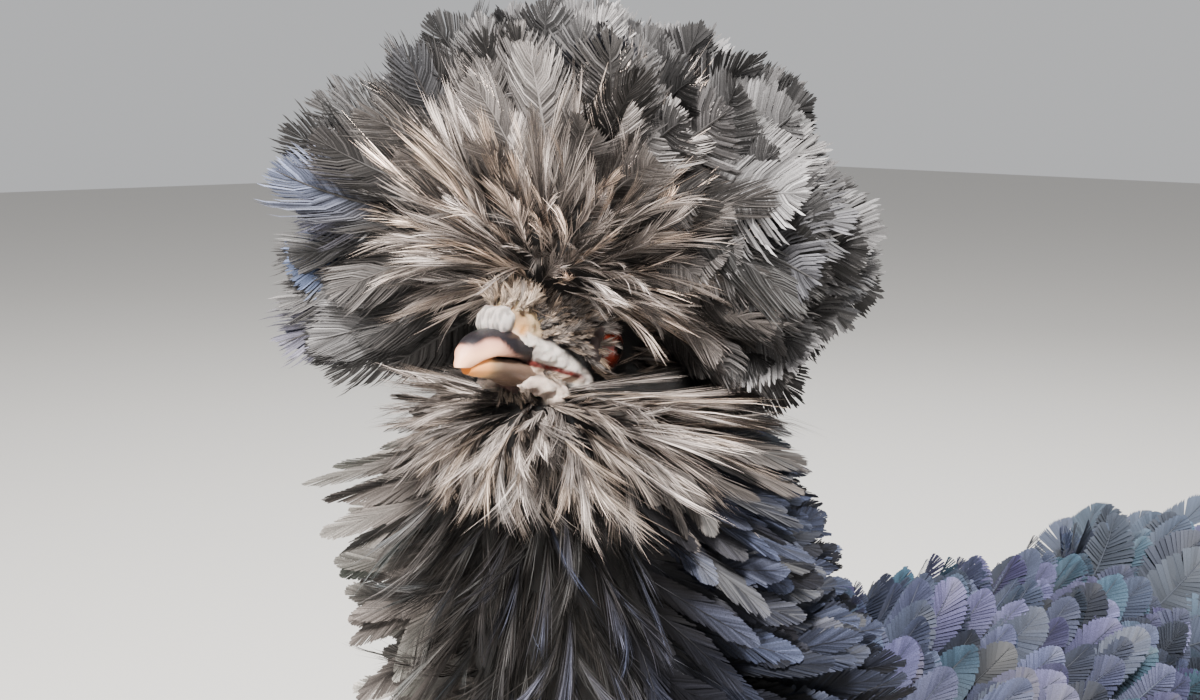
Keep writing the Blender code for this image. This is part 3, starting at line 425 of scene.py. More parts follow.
BROAD = Style(
    76, turn=0.38, tip=1.25, tilt=0.14, gather=0.26, fray=0.12, droop=0.24, firm=0.88, streak=0.38, bow=0.46,
)
BROAD_SIDE = Style(
    76, turn=0.40, tip=1.4, tilt=0.10, gather=0.14, fray=0.07, droop=0.24, firm=0.92, streak=0.28, bow=0.46,
)
BROAD_FAR = Style(32, streak=0.40)
PLAIN = Style(
    32, stop=0.95, turn=0.58, tip=1.9, gather=0.0, fray=0.008, droop=0.14, tilt=0.03, firm=0.98, streak=0.10,
    close=1.2, keel=2.6,
)
LANCE = Style(
    36, stop=0.96, turn=0.44, tip=3.4, gather=0.10, fray=0.04, droop=0.30, tilt=0.08, firm=0.95, streak=0.22,
)
LANCE_FAR = Style(
    28, stop=0.94, turn=0.36, tip=1.9, gather=0.10, fray=0.03, droop=0.22, tilt=0.10, streak=0.20,
)
HAIR = Style(
    22, stop=0.80, turn=0.12, tip=5.0, gather=0.08, fray=0.28, droop=0.05, tilt=0.3, firm=0.6, streak=0.5,
    close=0.6,
)
FLIGHT = Style(
    64, start=0.06, stop=0.95, turn=0.60, tip=1.7, gather=0.03, fray=0.01, droop=0.10, tilt=0.04, streak=0.1,
)
DOWN = Style(
    8, start=0.1, stop=0.8, turn=0.2, tip=3.0, gather=0.3, fray=0.25, droop=0.0, tilt=0.3, firm=0.6,
    close=0.7,
)


# Rows of (y, lowest z, highest z, feathers, length, width, lift in degrees, style)
WING_TIERS = (
    (0.024, 0.158, 0.186, 9, 0.078, 0.015, 2, FLIGHT),
    (0.008, 0.157, 0.204, 9, 0.060, 0.016, 6, FLIGHT),
    (-0.012, 0.156, 0.208, 12, 0.040, 0.014, 10, LANCE_FAR),
    (-0.026, 0.156, 0.208, 13, 0.032, 0.013, 13, PLAIN),
    (-0.038, 0.158, 0.206, 13, 0.028, 0.013, 16, PLAIN),
    (-0.049, 0.162, 0.204, 11, 0.026, 0.013, 18, PLAIN),
    (-0.059, 0.168, 0.200, 8, 0.024, 0.012, 20, PLAIN),
)


def grow(name, material, replaced, tufts, rule=None):
    """A coat piece for the nodes replaced, from pairs of follicles and style; rule moves its points."""
    parts, count = [], 0
    for f, style in tufts:
        for points, triangles, uvs, colours in (barb_ribbons(f, style), shaft_ridges(f)):
            flat = points.reshape(-1, 3)
            parts.append((flat, triangles + count, uvs.reshape(-1, 2), colours.reshape(-1, 3)))
            count += len(flat)
    points, triangles, uvs, colours = (np.concatenate(column) for column in zip(*parts))
    points = in_room(rule(points) if rule else points)
    settle(tri_mesh(name, points, triangles, uvs, colours, material), "plumage", *replaced)


def shaft_frames(f, s):
    """Points on the shafts at shares s of the length, and the ways along, across and out of the vane."""
    lift, curl = f["lift"][:, None], f["curl"][:, None]
    curl = np.where(np.abs(curl) < 1e-3, 1e-3, curl)
    angle = lift + curl * s
    forward = (np.sin(angle) - np.sin(lift)) / curl
    upward = (np.cos(lift) - np.cos(angle)) / curl
    lie, out = f["lie"][:, None, :], f["out"][:, None, :]
    side = np.cross(lie, out)
    long = f["length"][:, None, None]
    sway = f["sway"][:, None, None]
    here = f["root"][:, None, :] + (lie * forward[..., None] + out * upward[..., None]) * long
    here = here + side * sway * long * s[..., None] ** 2
    level = lie * np.cos(angle)[..., None] + out * np.sin(angle)[..., None]
    along = unit(level + side * 2 * sway * s[..., None])
    face = out * np.cos(angle)[..., None] - lie * np.sin(angle)[..., None]
    across = unit(np.cross(along, face))
    face = np.cross(across, along)
    roll = (f["roll"][:, None] + f["twist"][:, None] * s)[..., None]
    cos, sin = np.cos(roll), np.sin(roll)
    return here, along, across * cos + face * sin, face * cos - across * sin


def shaft_way(f):
    """From root to tip of feathers of length 1."""
    curl = np.where(np.abs(f["curl"]) < 1e-3, 1e-3, f["curl"])
    forward = (np.sin(f["lift"] + curl) - np.sin(f["lift"])) / curl
    upward = (np.cos(f["lift"]) - np.cos(f["lift"] + curl)) / curl
    side = np.cross(f["lie"], f["out"])
    return f["lie"] * forward[:, None] + f["out"] * upward[:, None] + side * f["sway"][:, None]


def locks(count, barbs, size):
    """For barbs on both sides: the middle of the lock that each belongs to, and a random value a lock."""
    start = RNG.integers(0, size, (2, count, 1))
    number = (np.arange(barbs)[None, None] + start) // size
    middle = ((number + 0.5) * size - start) / barbs
    value = RNG.normal(0, 1, (2, count, barbs // size + 2))
    return middle, np.take_along_axis(value, number, axis=2)


def barb_ends(f, style, u, lock, middle):
    """Where the barbs end: shares of the length, distances aside, and the room from one end to the next."""
    pull = style.gather * RNG.uniform(0.3, 1.5, (1, len(u), 1)) * np.abs(lock).clip(0.2, 1.6)
    ending = np.clip(u[None] + np.clip(pull, 0, 0.85) * (middle - u[None]) + 0.010 * lock, 0, 1)
    long, half = f["length"][None, :, None], f["width"][None, :, None] / 2
    far = np.maximum(long - half * style.tip, long * 0.45)
    near = np.minimum(long * style.start + half * 1.5, far * 0.7)
    straight = ending < style.turn
    rounding = np.clip((ending - style.turn) / (1 - style.turn), 0, 1) * math.pi / 2
    up_side, round_end = near + (far - near) * ending / style.turn, far + (long - far) * np.sin(rounding)
    edge = np.where(straight, up_side, round_end)
    widening = np.sin(math.pi / 2 * np.clip(ending / (style.turn * 0.9), 0, 1))
    aside = half * np.where(straight, 0.55 + 0.45 * widening, np.cos(rounding))
    turning = math.pi / 2 / (style.barbs * (1 - style.turn))
    at_edge, at_tip = (far - near) / (style.barbs * style.turn), turning * (long - far) * np.cos(rounding)
    step_on = np.where(straight, at_edge, at_tip)
    step_aside = np.where(straight, 0, turning * half * np.sin(rounding))
    return edge, aside, step_on, step_aside


def barb_ribbons(f, style):
    """A ribbon for each barb of the feathers f: points, triangles, places in the map and colours."""
    count, barbs = len(f["root"]), style.barbs
    u = (np.arange(barbs)[None] + 0.5) / barbs + RNG.normal(0, 0.12 / barbs, (count, barbs))
    s = style.start + (style.stop - style.start) * u
    middle, lock = locks(count, barbs, max(3, barbs // 9))
    edge, aside, step_on, step_aside = barb_ends(f, style, u, lock, middle)
    long, half = f["length"][None, :, None], f["width"][None, :, None] / 2
    reach = 1 + RNG.normal(0, style.fray, lock.shape) + 0.5 * style.fray * lock
    ahead = np.maximum(edge - long * s[None], 0.4 * half) * reach
    aside = aside * reach
    sign = np.array([1.0, -1.0])[:, None, None]
    droop = style.droop * RNG.uniform(0.3, 1.6, (1, count, 1))
    tilt = RNG.normal(0, style.tilt, lock.shape) + 0.4 * style.tilt * lock
    rise = style.tilt * (RNG.normal(0, 0.10, lock.shape) + 0.15 * lock)
    points = []
    bow = style.bow
    for share in style.stations:
        out = aside * ((1 + bow) * share - bow * share**2) * sign
        on = ahead * ((1 - 0.7 * bow) * share + 0.7 * bow * share**2)
        here, along, across, face = both_sides(f, s[None] + on / long)
        drop = droop * (out**2 / half + style.keel * np.abs(out)) - rise * (aside + ahead) * share
        place = here + across * out[..., None] - face * drop[..., None]
        slope = np.arctan2(aside * (1 + bow - 2 * bow * share), ahead * (1 - 0.7 * bow + 1.4 * bow * share))
        if share == 1:
            points.append(place)
            continue
        at_root = long * (style.stop - style.start) / barbs * np.sin(slope).clip(0.2)
        at_end = step_on * np.sin(slope) + step_aside * np.cos(slope)
        wide = 0.64 * style.close * (at_root + (at_end - at_root) * share)
        ribbon = along * np.sin(slope)[..., None] - across * (sign * np.cos(slope))[..., None]
        ribbon = ribbon * np.cos(tilt)[..., None] + face * np.sin(tilt)[..., None]
        points += [place - ribbon * wide[..., None], place + ribbon * wide[..., None]]
    points = np.stack(points, axis=3)
    corners = points.shape[3]
    base = (np.arange(2 * count * barbs) * corners)[:, None, None]
    strip = [(k + a, k + b, k + c) for k in range(0, corners - 3, 2) for a, b, c in ((0, 1, 3), (0, 3, 2))]
    strip.append((corners - 3, corners - 2, corners - 1))
    triangles = (base + np.array(strip)[None]).reshape(-1, 3)
    shares = np.array([share for share in style.stations for _ in (0, 1)][:-1])
    outwards = (0.02 + 0.48 * shares)[None, None, None] * sign[..., None]
    offset = np.stack(np.broadcast_arrays(s[None, ..., None] - 0.5, outwards), axis=-1)
    patch = f["uv"][None, :, None, None, :] + PATCH * offset
    # Barbs lighter and darker at random, the lightest standing in as painted highlights
    painted_light_and_tone = np.exp(style.streak * (0.5 * lock + 1.2 * RNG.normal(0, 1, lock.shape)).clip(-2.2, 2.6))
    # Painted shade: each feather darker towards its root, where the feathers over it shade it
    painted_light_and_tone = painted_light_and_tone * (0.26 + 0.94 * smooth_step(s, -0.05, 0.75))[None]
    # Each barb darker near the shaft than at its end
    painted_light_and_tone = painted_light_and_tone[..., None] * (0.68 + 0.55 * shares)
    # Tip colours: painted sheen on most coats, darker tips on the beard
    tips = f["tip_tint"][None, :, None, None, :] * smooth_step(s, 0.25, 0.85)[None, ..., None, None]
    colours = painted_light_and_tone[..., None] * (f["tint"][None, :, None, None, :] + tips)
    return points, triangles, patch, colours


def both_sides(f, s):
    """shaft_frames for shares s of both sides of the vane: arrays of (2, feathers, barbs)."""
    sides, count, barbs = s.shape
    found = shaft_frames(f, np.moveaxis(s, 0, 1).reshape(count, sides * barbs))
    return [np.moveaxis(a.reshape(count, sides, barbs, 3), 1, 0) for a in found]


def shaft_ridges(f, rings=6):
    """A three-sided shaft for each of the feathers f, as barb_ribbons gives them."""
    count = len(f["root"])
    s = np.broadcast_to(np.linspace(0, 0.97, rings), (count, rings))
    here, _, across, face = shaft_frames(f, s)
    thick = np.minimum(0.030 * f["width"][:, None] * (1.15 - s), 0.00032)[..., None]
    points = np.stack([here - across * thick, here + face * thick * 0.9, here + across * thick], axis=2)
    k = np.arange(rings - 1)[:, None] * 3
    strip = np.array([(0, 1, 4), (0, 4, 3), (1, 2, 5), (1, 5, 4)])
    one = (k[:, None, :] + strip[None]).reshape(-1, 3)
    triangles = (one[None] + (np.arange(count) * rings * 3)[:, None, None]).reshape(-1, 3)
    corners = np.array([-0.01, 0.0, 0.01])
    offset = np.stack(np.broadcast_arrays((s - 0.5)[..., None], corners), axis=-1)
    colours = np.broadcast_to(f["tint"][:, None, None, :] * 1.2, points.shape)
    return points, triangles, f["uv"][:, None, None, :] + PATCH * offset, colours


def follicles(root, out, lie, uv, **values):
    """A dict of arrays for feathers; angles come in degrees."""
    count = len(root)
    out = unit(out)
    lie = unit(lie - out * np.sum(lie * out, axis=-1, keepdims=True))
    f = {"root": root, "out": out, "lie": lie, "uv": uv}
    defaults = {"lift": 20, "curl": 20, "length": 0.03, "width": 0.01, "sway": 0, "roll": 0, "twist": 0}
    defaults["tip_tint"] = np.zeros(3)
    for name, value in {**defaults, **values}.items():
        value = np.asarray(value, float)
        if name in ("lift", "curl", "roll", "twist"):
            value = np.radians(value)
        f[name] = np.broadcast_to(value, (count, 3) if "tint" in name else (count,)).copy()
    return f


def chosen(f, keep):
    return {name: value[keep] for name, value in f.items()}


def spiral(count, spread, rise, crowd=1.0):
    """Rays round a pole at the head's front, denser near it by crowd.

    With them come the way from the pole and the angle from it at each, and the places in the map.
    """
    pole = np.array([0.0, -math.cos(rise), math.sin(rise)])
    across = np.array([1.0, 0.0, 0.0])
    upward = np.cross(across, pole)
    i = np.arange(count)
    polar = np.arccos(1 - (1 - math.cos(spread)) * ((i + 0.5) / count) ** crowd)
    turn = i * GOLDEN_ANGLE + RNG.normal(0, 0.05, count)
    around = across * np.cos(turn)[:, None] + upward * np.sin(turn)[:, None]
    rays = pole * np.cos(polar)[:, None] + around * np.sin(polar)[:, None]
    away = around * np.cos(polar)[:, None] - pole * np.sin(polar)[:, None]
    uv = 0.5 + (0.48 * polar / math.pi)[:, None] * np.stack([np.cos(turn), np.sin(turn)], axis=-1)
    return rays, away, polar, uv


def on_ellipsoid(centre, halves, start, rays):
    """How far rays go from inside an ellipsoid until they leave it."""
    o, r = (start - centre) / halves, rays / halves
    a, b, c = np.sum(r * r, axis=-1), np.sum(r * o, axis=-1), np.sum(o * o, axis=-1) - 1
    return (-b + np.sqrt(np.maximum(b * b - a * c, 0))) / a


def core_roots(at, halves, count, spread, rise, crowd=1.0):
    """As spiral, and then the places on an ellipsoid and the ways out of it there."""
    spun = spiral(count, spread, rise, crowd)
    root = at + spun[0] * on_ellipsoid(at, halves, at, spun[0])[:, None]
    return *spun, root, unit((root - at) / halves**2)


def crest_roots(count, spread, crowd, spare):
    """As core_roots on the crest's core, over its lower edge by spare."""
    grown = core_roots(CREST_CORE_AT, CREST_CORE_HALVES, count, spread, CREST_POLE_RISE, crowd)
    kept = grown[4][:, 2] > crest_floor(*polar_place(grown[4])) + spare
    return [a[kept] for a in grown]


def steps(count, low, span):
    """Even steps from low on over a span."""
    return low + span * (np.arange(count) + 0.5) / count


def loft_roots(form, t, wander=0.0):
    """Places in a spiral on a form, the ways out of it and along it there, and the places in the map."""
    angle = np.arange(len(t)) * GOLDEN_ANGLE
    if wander:
        angle = angle + RNG.normal(0, wander, len(t))
    return *form.surface(t, angle), np.stack([(angle / (2 * math.pi)) % 1, t], axis=-1)


def normal(count, mean, spread):
    """Random values round a mean, none further from it than two spreads."""
    return mean + spread * RNG.normal(0, 1, count).clip(-2, 2)


BROWN_BLACK = np.array([0.0740, 0.0640, 0.0590])
NEUTRAL = np.array([0.0640, 0.0620, 0.0630])
BLUE_BLACK = np.array([0.0230, 0.0270, 0.0370])
# Painted sheen: these blues, teal, violet and green stand in for the feathers' gloss and sky reflections
SLATE_BLUE_SHEEN = np.array([0.0330, 0.0400, 0.0700])
TEAL_SHEEN = np.array([0.019, 0.058, 0.080])
VIOLET_SHEEN = np.array([0.050, 0.041, 0.105])
GREEN_SHEEN = np.array([0.024, 0.070, 0.056])
TAN = np.array([0.180, 0.125, 0.085])


def mixed(a, b, share):
    """Rows between two colours, or between two arrays of them."""
    return a + (b - a) * np.asarray(share)[:, None]


def crest(material):
    rays, away, polar, uv, root, out = crest_roots(760, CREST_SPREAD, 1.4, 0.0008)
    count = len(rays)
    x, z = rays[:, 0], rays[:, 2]
    outer = smooth_step(polar, 0.55, 1.35)
    lie = away + np.array([1.0, 0, 0]) * normal(count, 0, 0.13)[:, None]
    low = smooth_step(-z, -0.50, 0.10) * smooth_step(np.abs(x), 0.40, 0.75)
    lie[:, 2] += normal(count, 0, 0.08) + 0.6 * smooth_step(-polar, -0.5, -0.1)
    hanging_way = unit(rays * (1, 0.6, 0)) - UP * (0.15 + 0.35 * RNG.random(count))[:, None]
    lie = mixed(lie, hanging_way, 0.85 * low)
    facing = mixed(out, np.array([0.0, -1.0, 0.0]), 0.8 * low)
    # Feathers lighter and darker at random, the lightest standing in as painted highlights
    tint = mixed(BROWN_BLACK, NEUTRAL, outer) * np.exp(normal(count, 0, 0.64))[:, None]
    # Outer feathers darker, and painted shade on both sides of the crest, most on the hen's right
    tint *= (1 - 0.25 * outer - 0.36 * smooth_step(-x, -0.1, 0.5) - 0.22 * smooth_step(x, 0.2, 0.7))[:, None]
    # Painted iridescent sheen at the tips of some feathers, mostly low on the hen's right
    right_side = smooth_step(-x, 0.45, 0.80) * smooth_step(-z, -0.25, 0.15)
    right_side *= 1 - 0.6 * smooth_step(-z, 0.10, 0.45)
    glossy = np.where(RNG.random(count) < 0.08 + 0.60 * right_side, RNG.random(count), 0)
    sheen = (0.15 + 0.75 * right_side) * glossy
    tip_tint = mixed(TEAL_SHEEN, VIOLET_SHEEN, 0.3 + 0.7 * RNG.random(count)) * sheen[:, None]
    f = follicles(
        root - out * 0.003, facing, lie, uv,
        lift=normal(count, 32 + 30 * outer - 40 * low, 9), curl=normal(count, 10 - 4 * low, 24), length=1.0,
        width=(0.0036 + 0.0154 * outer) * normal(count, 1, 0.17), sway=normal(count, 0, 0.16 - 0.06 * outer),
        roll=normal(count, 0, 15), twist=normal(count, 0, 26), tint=tint, tip_tint=tip_tint,
    )
    full = (0.40 + 0.58 * smooth_step(polar, 0.3, 1.2)) * (1.04 - 0.46 * RNG.random(count) ** 1.5)
    full *= 1 - 0.14 * smooth_step(-x, 0.3, 0.7) * smooth_step(z, 0.2, 0.6)
    full *= 1 - 0.22 * smooth_step(-z, 0.0, 0.45) * smooth_step(x, 0.3, 0.7)
    way = shaft_way(f)
    reach = on_ellipsoid(CREST_AT, CREST_HALVES, f["root"], way)
    hanging = f["root"][:, 2] + way[:, 2] * reach < CREST_AT[2]
    deep = on_ellipsoid(CREST_AT, CREST_HALVES * (1, 1, CREST_HANG), f["root"], way)
    f["length"] = np.minimum(np.where(hanging, deep, reach) * full, 0.046 + 0.008 * low)
    hair, front, seen = polar < 0.70, polar < 1.3, polar < 1.75

    def rule(points):
        return from_head(held(points, crest_floor, 0.45, over=True))

    places = {
        "front": ((hair, HAIR), (front & ~hair, BROAD)),
        "side": ((seen & ~front, BROAD_SIDE),),
        "back": ((~seen, BROAD_FAR),),
    }
    for place, parts in places.items():
        tufts = ((chosen(f, part), style) for part, style in parts)
        grow(f"crest_{place}_feathers", material, ["crest"], tufts, rule)


def forehead(material):
    """Short hair-like feathers from the hairline over the bill up into the crest."""
    rays, away, polar, uv, root, out = crest_roots(620, math.radians(80), 1.0, -0.001)
    count = len(rays)
    lie = away + UP * (0.3 + 0.9 * smooth_step(-polar, -0.6, -0.1))[:, None] + RNG.normal(0, 0.16, (count, 3))
    # The colours are 3.6 times lighter as painted light, where the crest above shades these feathers
    f = follicles(
        root - out * 0.002, out, lie, uv, lift=normal(count, 22, 7), curl=normal(count, 16, 16),
        length=0.020 * normal(count, 1, 0.2), width=0.0028 * normal(count, 1, 0.25),
        sway=normal(count, 0, 0.15), roll=normal(count, 0, 25), twist=normal(count, 0, 40),
        tint=mixed(BROWN_BLACK, TAN, RNG.random(count) ** 3 * 0.4) * 3.6
        * np.exp(normal(count, 0, 0.45))[:, None],
    )
    grow("forehead_feathers", material, ["crest"], [(f, HAIR)], from_head)


def beard(material):
    grown = core_roots(BEARD_CORE_AT, BEARD_CORE_HALVES, 1500, BEARD_SPREAD, BEARD_POLE_RISE)
    angle = np.abs(polar_place(grown[4])[1])
    kept = (grown[4][:, 2] < MUFF_TOP - 0.0005) & (angle < MUFF_END_ANGLE)
    rays, away, polar, uv, root, out = (a[kept] for a in grown)
    count = len(rays)
    side = smooth_step(angle[kept], 0.5, 1.3)
    on_right = smooth_step(-polar_place(root)[1], 0.2, 1.2)
    hair = (side < 0.55) | (RNG.random(count) < 0.5)
    falling = RNG.uniform(0.5, 1.6, count) * (1 - 0.35 * side)
    lie = away * (0.7 + 0.5 * side)[:, None] - UP * falling[:, None]
    lie[:, 0] += normal(count, 0, 0.12)
    lie[:, 2] -= 0.6 * on_right
    lie += RNG.normal(0, 0.5, (count, 3)) * smooth_step(-polar, -0.5, -0.1)[:, None]
    shade = (0.45 + 0.55 * smooth_step(root[:, 2], -0.030, -0.020)) * np.where(hair, 2.2, 0.9)
    tint = mixed(BROWN_BLACK, TAN, RNG.random(count) ** 3 * 0.35 * hair)
    tint = tint * (shade * np.exp(normal(count, 0, 0.55)))[:, None]
    f = follicles(
        root - out * 0.002, out, lie, uv, lift=normal(count, 20, 6), curl=normal(count, -6, 14), length=1.0,
        width=(0.0026 + 0.0024 * side) * normal(count, 1, 0.15), sway=normal(count, 0, 0.20),
        roll=normal(count, 0, 16), twist=normal(count, 0, 24),
        tint=tint, tip_tint=-tint * RNG.uniform(0.35, 0.85, count)[:, None],
    )
    reach = on_ellipsoid(BEARD_AT, BEARD_HALVES, f["root"], shaft_way(f))
    f["length"] = np.minimum(reach * (1 - 0.45 * RNG.random(count) ** 1.5), 0.034)

    def rule(points):
        points = held(points, muff_ceiling, 0.45, over=False)
        return from_head(held(points, muff_floor, 0.6, over=True))

    tufts = ((chosen(f, hair), HAIR), (chosen(f, ~hair), LANCE_FAR))
    grow("beard_and_muff_feathers", material, ["beard", "muff_left", "muff_right"], tufts, rule)


def ruff(material):
    count = 1440
    t = steps(count, 0.06, 0.90)
    root, out, along, uv = loft_roots(neck_loft(), t, 0.04)
    yaw = math.atan2(-HEAD_AXES[1][0], HEAD_AXES[1][1])
    front = np.stack([np.sin(yaw * t), -np.cos(yaw * t), 0 * t], axis=-1)
    flat = unit(out * (1, 1, 0))
    frontness = np.sum(flat * front, axis=-1)
    backness = np.maximum(0, -frontness)
    frontness = np.maximum(0, frontness)
    aside = unit(np.cross(out, along))
    aside = aside * -np.sign(np.sum(aside * front, axis=-1, keepdims=True))
    sideways = 1.35 * (1 - frontness**2) * (1 - 0.85 * backness**2)
    downward = 0.34 + 0.50 * frontness**4 + 0.55 * backness
    open_side, far_side = np.maximum(0, -flat @ ACROSS_VIEW), np.maximum(0, flat @ ACROSS_VIEW)
    lie = aside * sideways[:, None] - along * downward[:, None] + RNG.normal(0, 0.12, (count, 3))
    fine = smooth_step(frontness, 0.66, 0.97)
    # Painted sky reflection: slate blue on the hen's left side of the neck
    slate = smooth_step(flat[:, 0], -0.3, 0.5) * RNG.uniform(0.5, 1, count)
    tint = mixed(mixed(BROWN_BLACK, SLATE_BLUE_SHEEN * 1.3, slate), BROWN_BLACK, fine)
    # Painted light on the side of the neck facing the view's left, painted shade on the side facing its right
    tint = tint * (0.38 + 3.6 * open_side * (1 - fine) - 0.12 * far_side)[:, None]
    # Painted sheen at the tips of some feathers
    glossy = RNG.random(count) ** 3
    tip_tint = mixed(GREEN_SHEEN, SLATE_BLUE_SHEEN * 1.5, smooth_step(flat[:, 0], -0.5, 0.3)) * glossy[:, None]
    long = (0.047 - 0.012 * t) * (1 - 0.25 * fine + open_side * (0.5 * t - 0.38) - 0.32 * far_side)
    f = follicles(
        root - out * 0.003, out, lie, uv,
        lift=normal(count, 30 - 10 * frontness + 16 * open_side * (1 - fine), 6),
        curl=normal(count, 14, 10 + 22 * fine), length=long * normal(count, 1, 0.10),
        width=(0.0088 - 0.003 * t) * (1 - 0.45 * fine) * normal(count, 1, 0.14),
        sway=normal(count, 0, 0.10 + 0.16 * fine), roll=normal(count, 0, 14), twist=normal(count, 0, 20),
        tint=tint * (0.26 * np.exp(normal(count, 0, 0.40)))[:, None], tip_tint=tip_tint * 0.35,
    )

    def rule(points):
        return from_head(held(to_head(points), muff_floor, 0.5, over=False))

    seen = flat @ NEAR_SIDE > -0.35
    hair = seen & (fine > 0.6)
    tufts = ((chosen(f, hair), HAIR), (chosen(f, seen & ~hair), LANCE))
    grow("ruff_front_feathers", material, ["neck"], tufts, rule)
    grow("ruff_back_feathers", material, ["neck"], [(chosen(f, ~seen), LANCE_FAR)], rule)


def in_wing_room(root):
    """Whether roots lie where the wing's feathers take the place of the body's."""
    x, y, z = root.T
    end = WING_BACK - 0.045 - 0.030 * smooth_step(z, 0.175, 0.190)
    beside = (np.abs(x) > WING_INSIDE) & (y > WING_FRONT + WING_OVERLAP) & (y < end)
    return beside & (z > WING_LOW + WING_OVERLAP) & (z < WING_HIGH - WING_OVERLAP - 0.004)


def body(material):
    count = 1450
    t = 0.5 - 0.5 * np.cos(math.pi * steps(count, 0.03, 0.91))
    root, out, along, uv = loft_roots(torso_loft(), t, 0.04)
    backward = smooth_step(t, 0.02, 0.30)[:, None]
    lie = along * backward - UP * (1.02 - backward) + RNG.normal(0, 0.06, (count, 3))
    topness = np.maximum(0, out[:, 2])
    # Painted sky reflection and sheen: feathers facing up are bluer and carry more teal and violet at their
    # tips
    tint = mixed(BLUE_BLACK, SLATE_BLUE_SHEEN, topness * RNG.uniform(0.3, 1, count))
    glossy = RNG.random(count) ** 2 * (0.20 + 0.80 * topness)
    tip_tint = mixed(TEAL_SHEEN, VIOLET_SHEEN, smooth_step(RNG.random(count), 0.1, 0.5)) * glossy[:, None]
    f = follicles(
        root - out * 0.003, out, lie, uv,
        lift=normal(count, 12 + 4 * topness, 2), curl=normal(count, 16 + 14 * topness, 4),
        length=(0.034 + 0.002 * topness) * normal(count, 1, 0.12), width=0.0120 * normal(count, 1, 0.12),
        sway=normal(count, 0, 0.04), roll=normal(count, 0, 10), twist=normal(count, 0, 8),
        tint=tint * (0.30 * np.exp(normal(count, 0, 0.48)))[:, None], tip_tint=tip_tint * 0.38,
    )
    kept = ~in_wing_room(root)
    for place, part in (("back", out[:, 2] > 0), ("belly", out[:, 2] <= 0)):
        grow(place + "_feathers", material, ["torso"], [(chosen(f, kept & part), PLAIN)])


def wing_skin(y, z):
    """How far from the middle the flank lies at a place."""
    t = np.clip((y - TORSO_FRONT) / TORSO_LENGTH, 0.06, 0.86)
    form = torso_loft()
    wide, deep = form.halves(t)
    share = np.minimum(0.9, np.abs(z - form.centre(t)[..., 2]) / deep)
    return wide * np.sqrt(1 - share**2)


def wing_tiers(sign):
    """Tiers of feathers from the shoulder to the flight feathers, each tucked under the next one up."""
    for y, low, high, count, length, width, lift, style in WING_TIERS:
        k = steps(count, 0, 1)
        z = low + (high - low) * k
        y = y - 0.012 * (1 - (2 * k - 1) ** 2) + normal(count, 0, 0.002)
        x = sign * (wing_skin(y, z) + 0.004 + 0.0002 * lift)
        lie = np.stack([0 * k, 1 + 0 * k, WING_SLOPE + 0.16 * k + normal(count, 0, 0.03)], axis=-1)
        out = np.array([sign, 0, 0.16]) + 0 * lie
        # Painted sheen at the tips of some feathers
        glossy = RNG.random(count) ** 2
        f = follicles(
            np.stack([x, y, z], axis=-1), out, lie, np.stack([(y + 0.1) * 4, z * 4], axis=-1),
            lift=normal(count, lift, 2), curl=normal(count, 8, 5), length=length * normal(count, 1, 0.05),
            width=width * normal(count, 1, 0.05), roll=normal(count, 0, 3), twist=normal(count, 0, 6),
            tint=BLUE_BLACK * normal(count, 0.62, 0.14)[:, None],
            tip_tint=mixed(TEAL_SHEEN, VIOLET_SHEEN, RNG.random(count)) * (0.32 * glossy)[:, None],
        )
        yield f, style


def tail_tufts():
    """The fan of flight feathers, and the coverts round its root."""
    across = np.array([1.0, 0, 0])
    k = np.arange(TAIL_FEATHERS) - (TAIL_FEATHERS - 1) / 2
    spread = np.radians(k * TAIL_FAN)
    tilt = np.sign(k) * math.radians(9)
    out = TAIL_UP * np.cos(tilt)[:, None] + across * np.sin(tilt)[:, None]
    lie = TAIL_AXIS * np.cos(spread)[:, None] + across * np.sin(spread)[:, None]
    root = TAIL_ROOT + across * (0.0024 * k)[:, None] - TAIL_UP * (0.0014 * np.abs(k) - 0.003)[:, None]
    count = len(k)
    # The tail's feathers carry painted sheen at their tips
    fan = follicles(
        root, out, lie, np.stack([k / 20 + 0.5, 0 * k + 0.8], axis=-1), lift=normal(count, 1, 2),
        curl=normal(count, 6, 4), length=TAIL_LENGTH * (1 - 0.02 * np.abs(k)) * normal(count, 1, 0.03),
        width=0.0210 * normal(count, 1, 0.04), twist=normal(count, 0, 8), tint=BLUE_BLACK * 0.6,
        tip_tint=mixed(TEAL_SHEEN, VIOLET_SHEEN, RNG.random(count)) * 0.2,
    )
    yield fan, FLIGHT
    count = 150
    along = steps(count, -0.012, 0.030)
    angle = np.arange(count) * GOLDEN_ANGLE
    out = across * np.cos(angle)[:, None] + TAIL_UP * np.sin(angle)[:, None]
    root = TAIL_ROOT + TAIL_AXIS * along[:, None] + across * (0.022 * np.cos(angle))[:, None]
    root = root + TAIL_UP * (0.020 * np.sin(angle) - 0.012)[:, None]
    # Painted sheen at the tips of some coverts
    glossy = RNG.random(count) ** 2
    coverts = follicles(
        root - out * 0.002, out, TAIL_AXIS + RNG.normal(0, 0.12, (count, 3)),
        np.stack([(angle / (2 * math.pi)) % 1, 0.3 + along * 8], axis=-1), lift=normal(count, 8, 4),
        curl=normal(count, 20, 8), length=0.046 * normal(count, 1, 0.10),
        width=0.0150 * normal(count, 1, 0.1), sway=normal(count, 0, 0.10), twist=normal(count, 0, 14),
        tint=BLUE_BLACK * 0.6, tip_tint=mixed(TEAL_SHEEN, VIOLET_SHEEN, RNG.random(count)) * (0.5 * glossy)[:, None],
    )
    yield coverts, PLAIN


def thigh_loft(sign):
    mirror = np.array([sign, 1, 1])
    top, hock = THIGH_TOP * mirror, HOCK * mirror
    rows = [(*(top + (hock - top) * share), wide, high) for share, wide, high in THIGH_ROWS]
    return rows_loft(rows, up=(0, -1, 0))


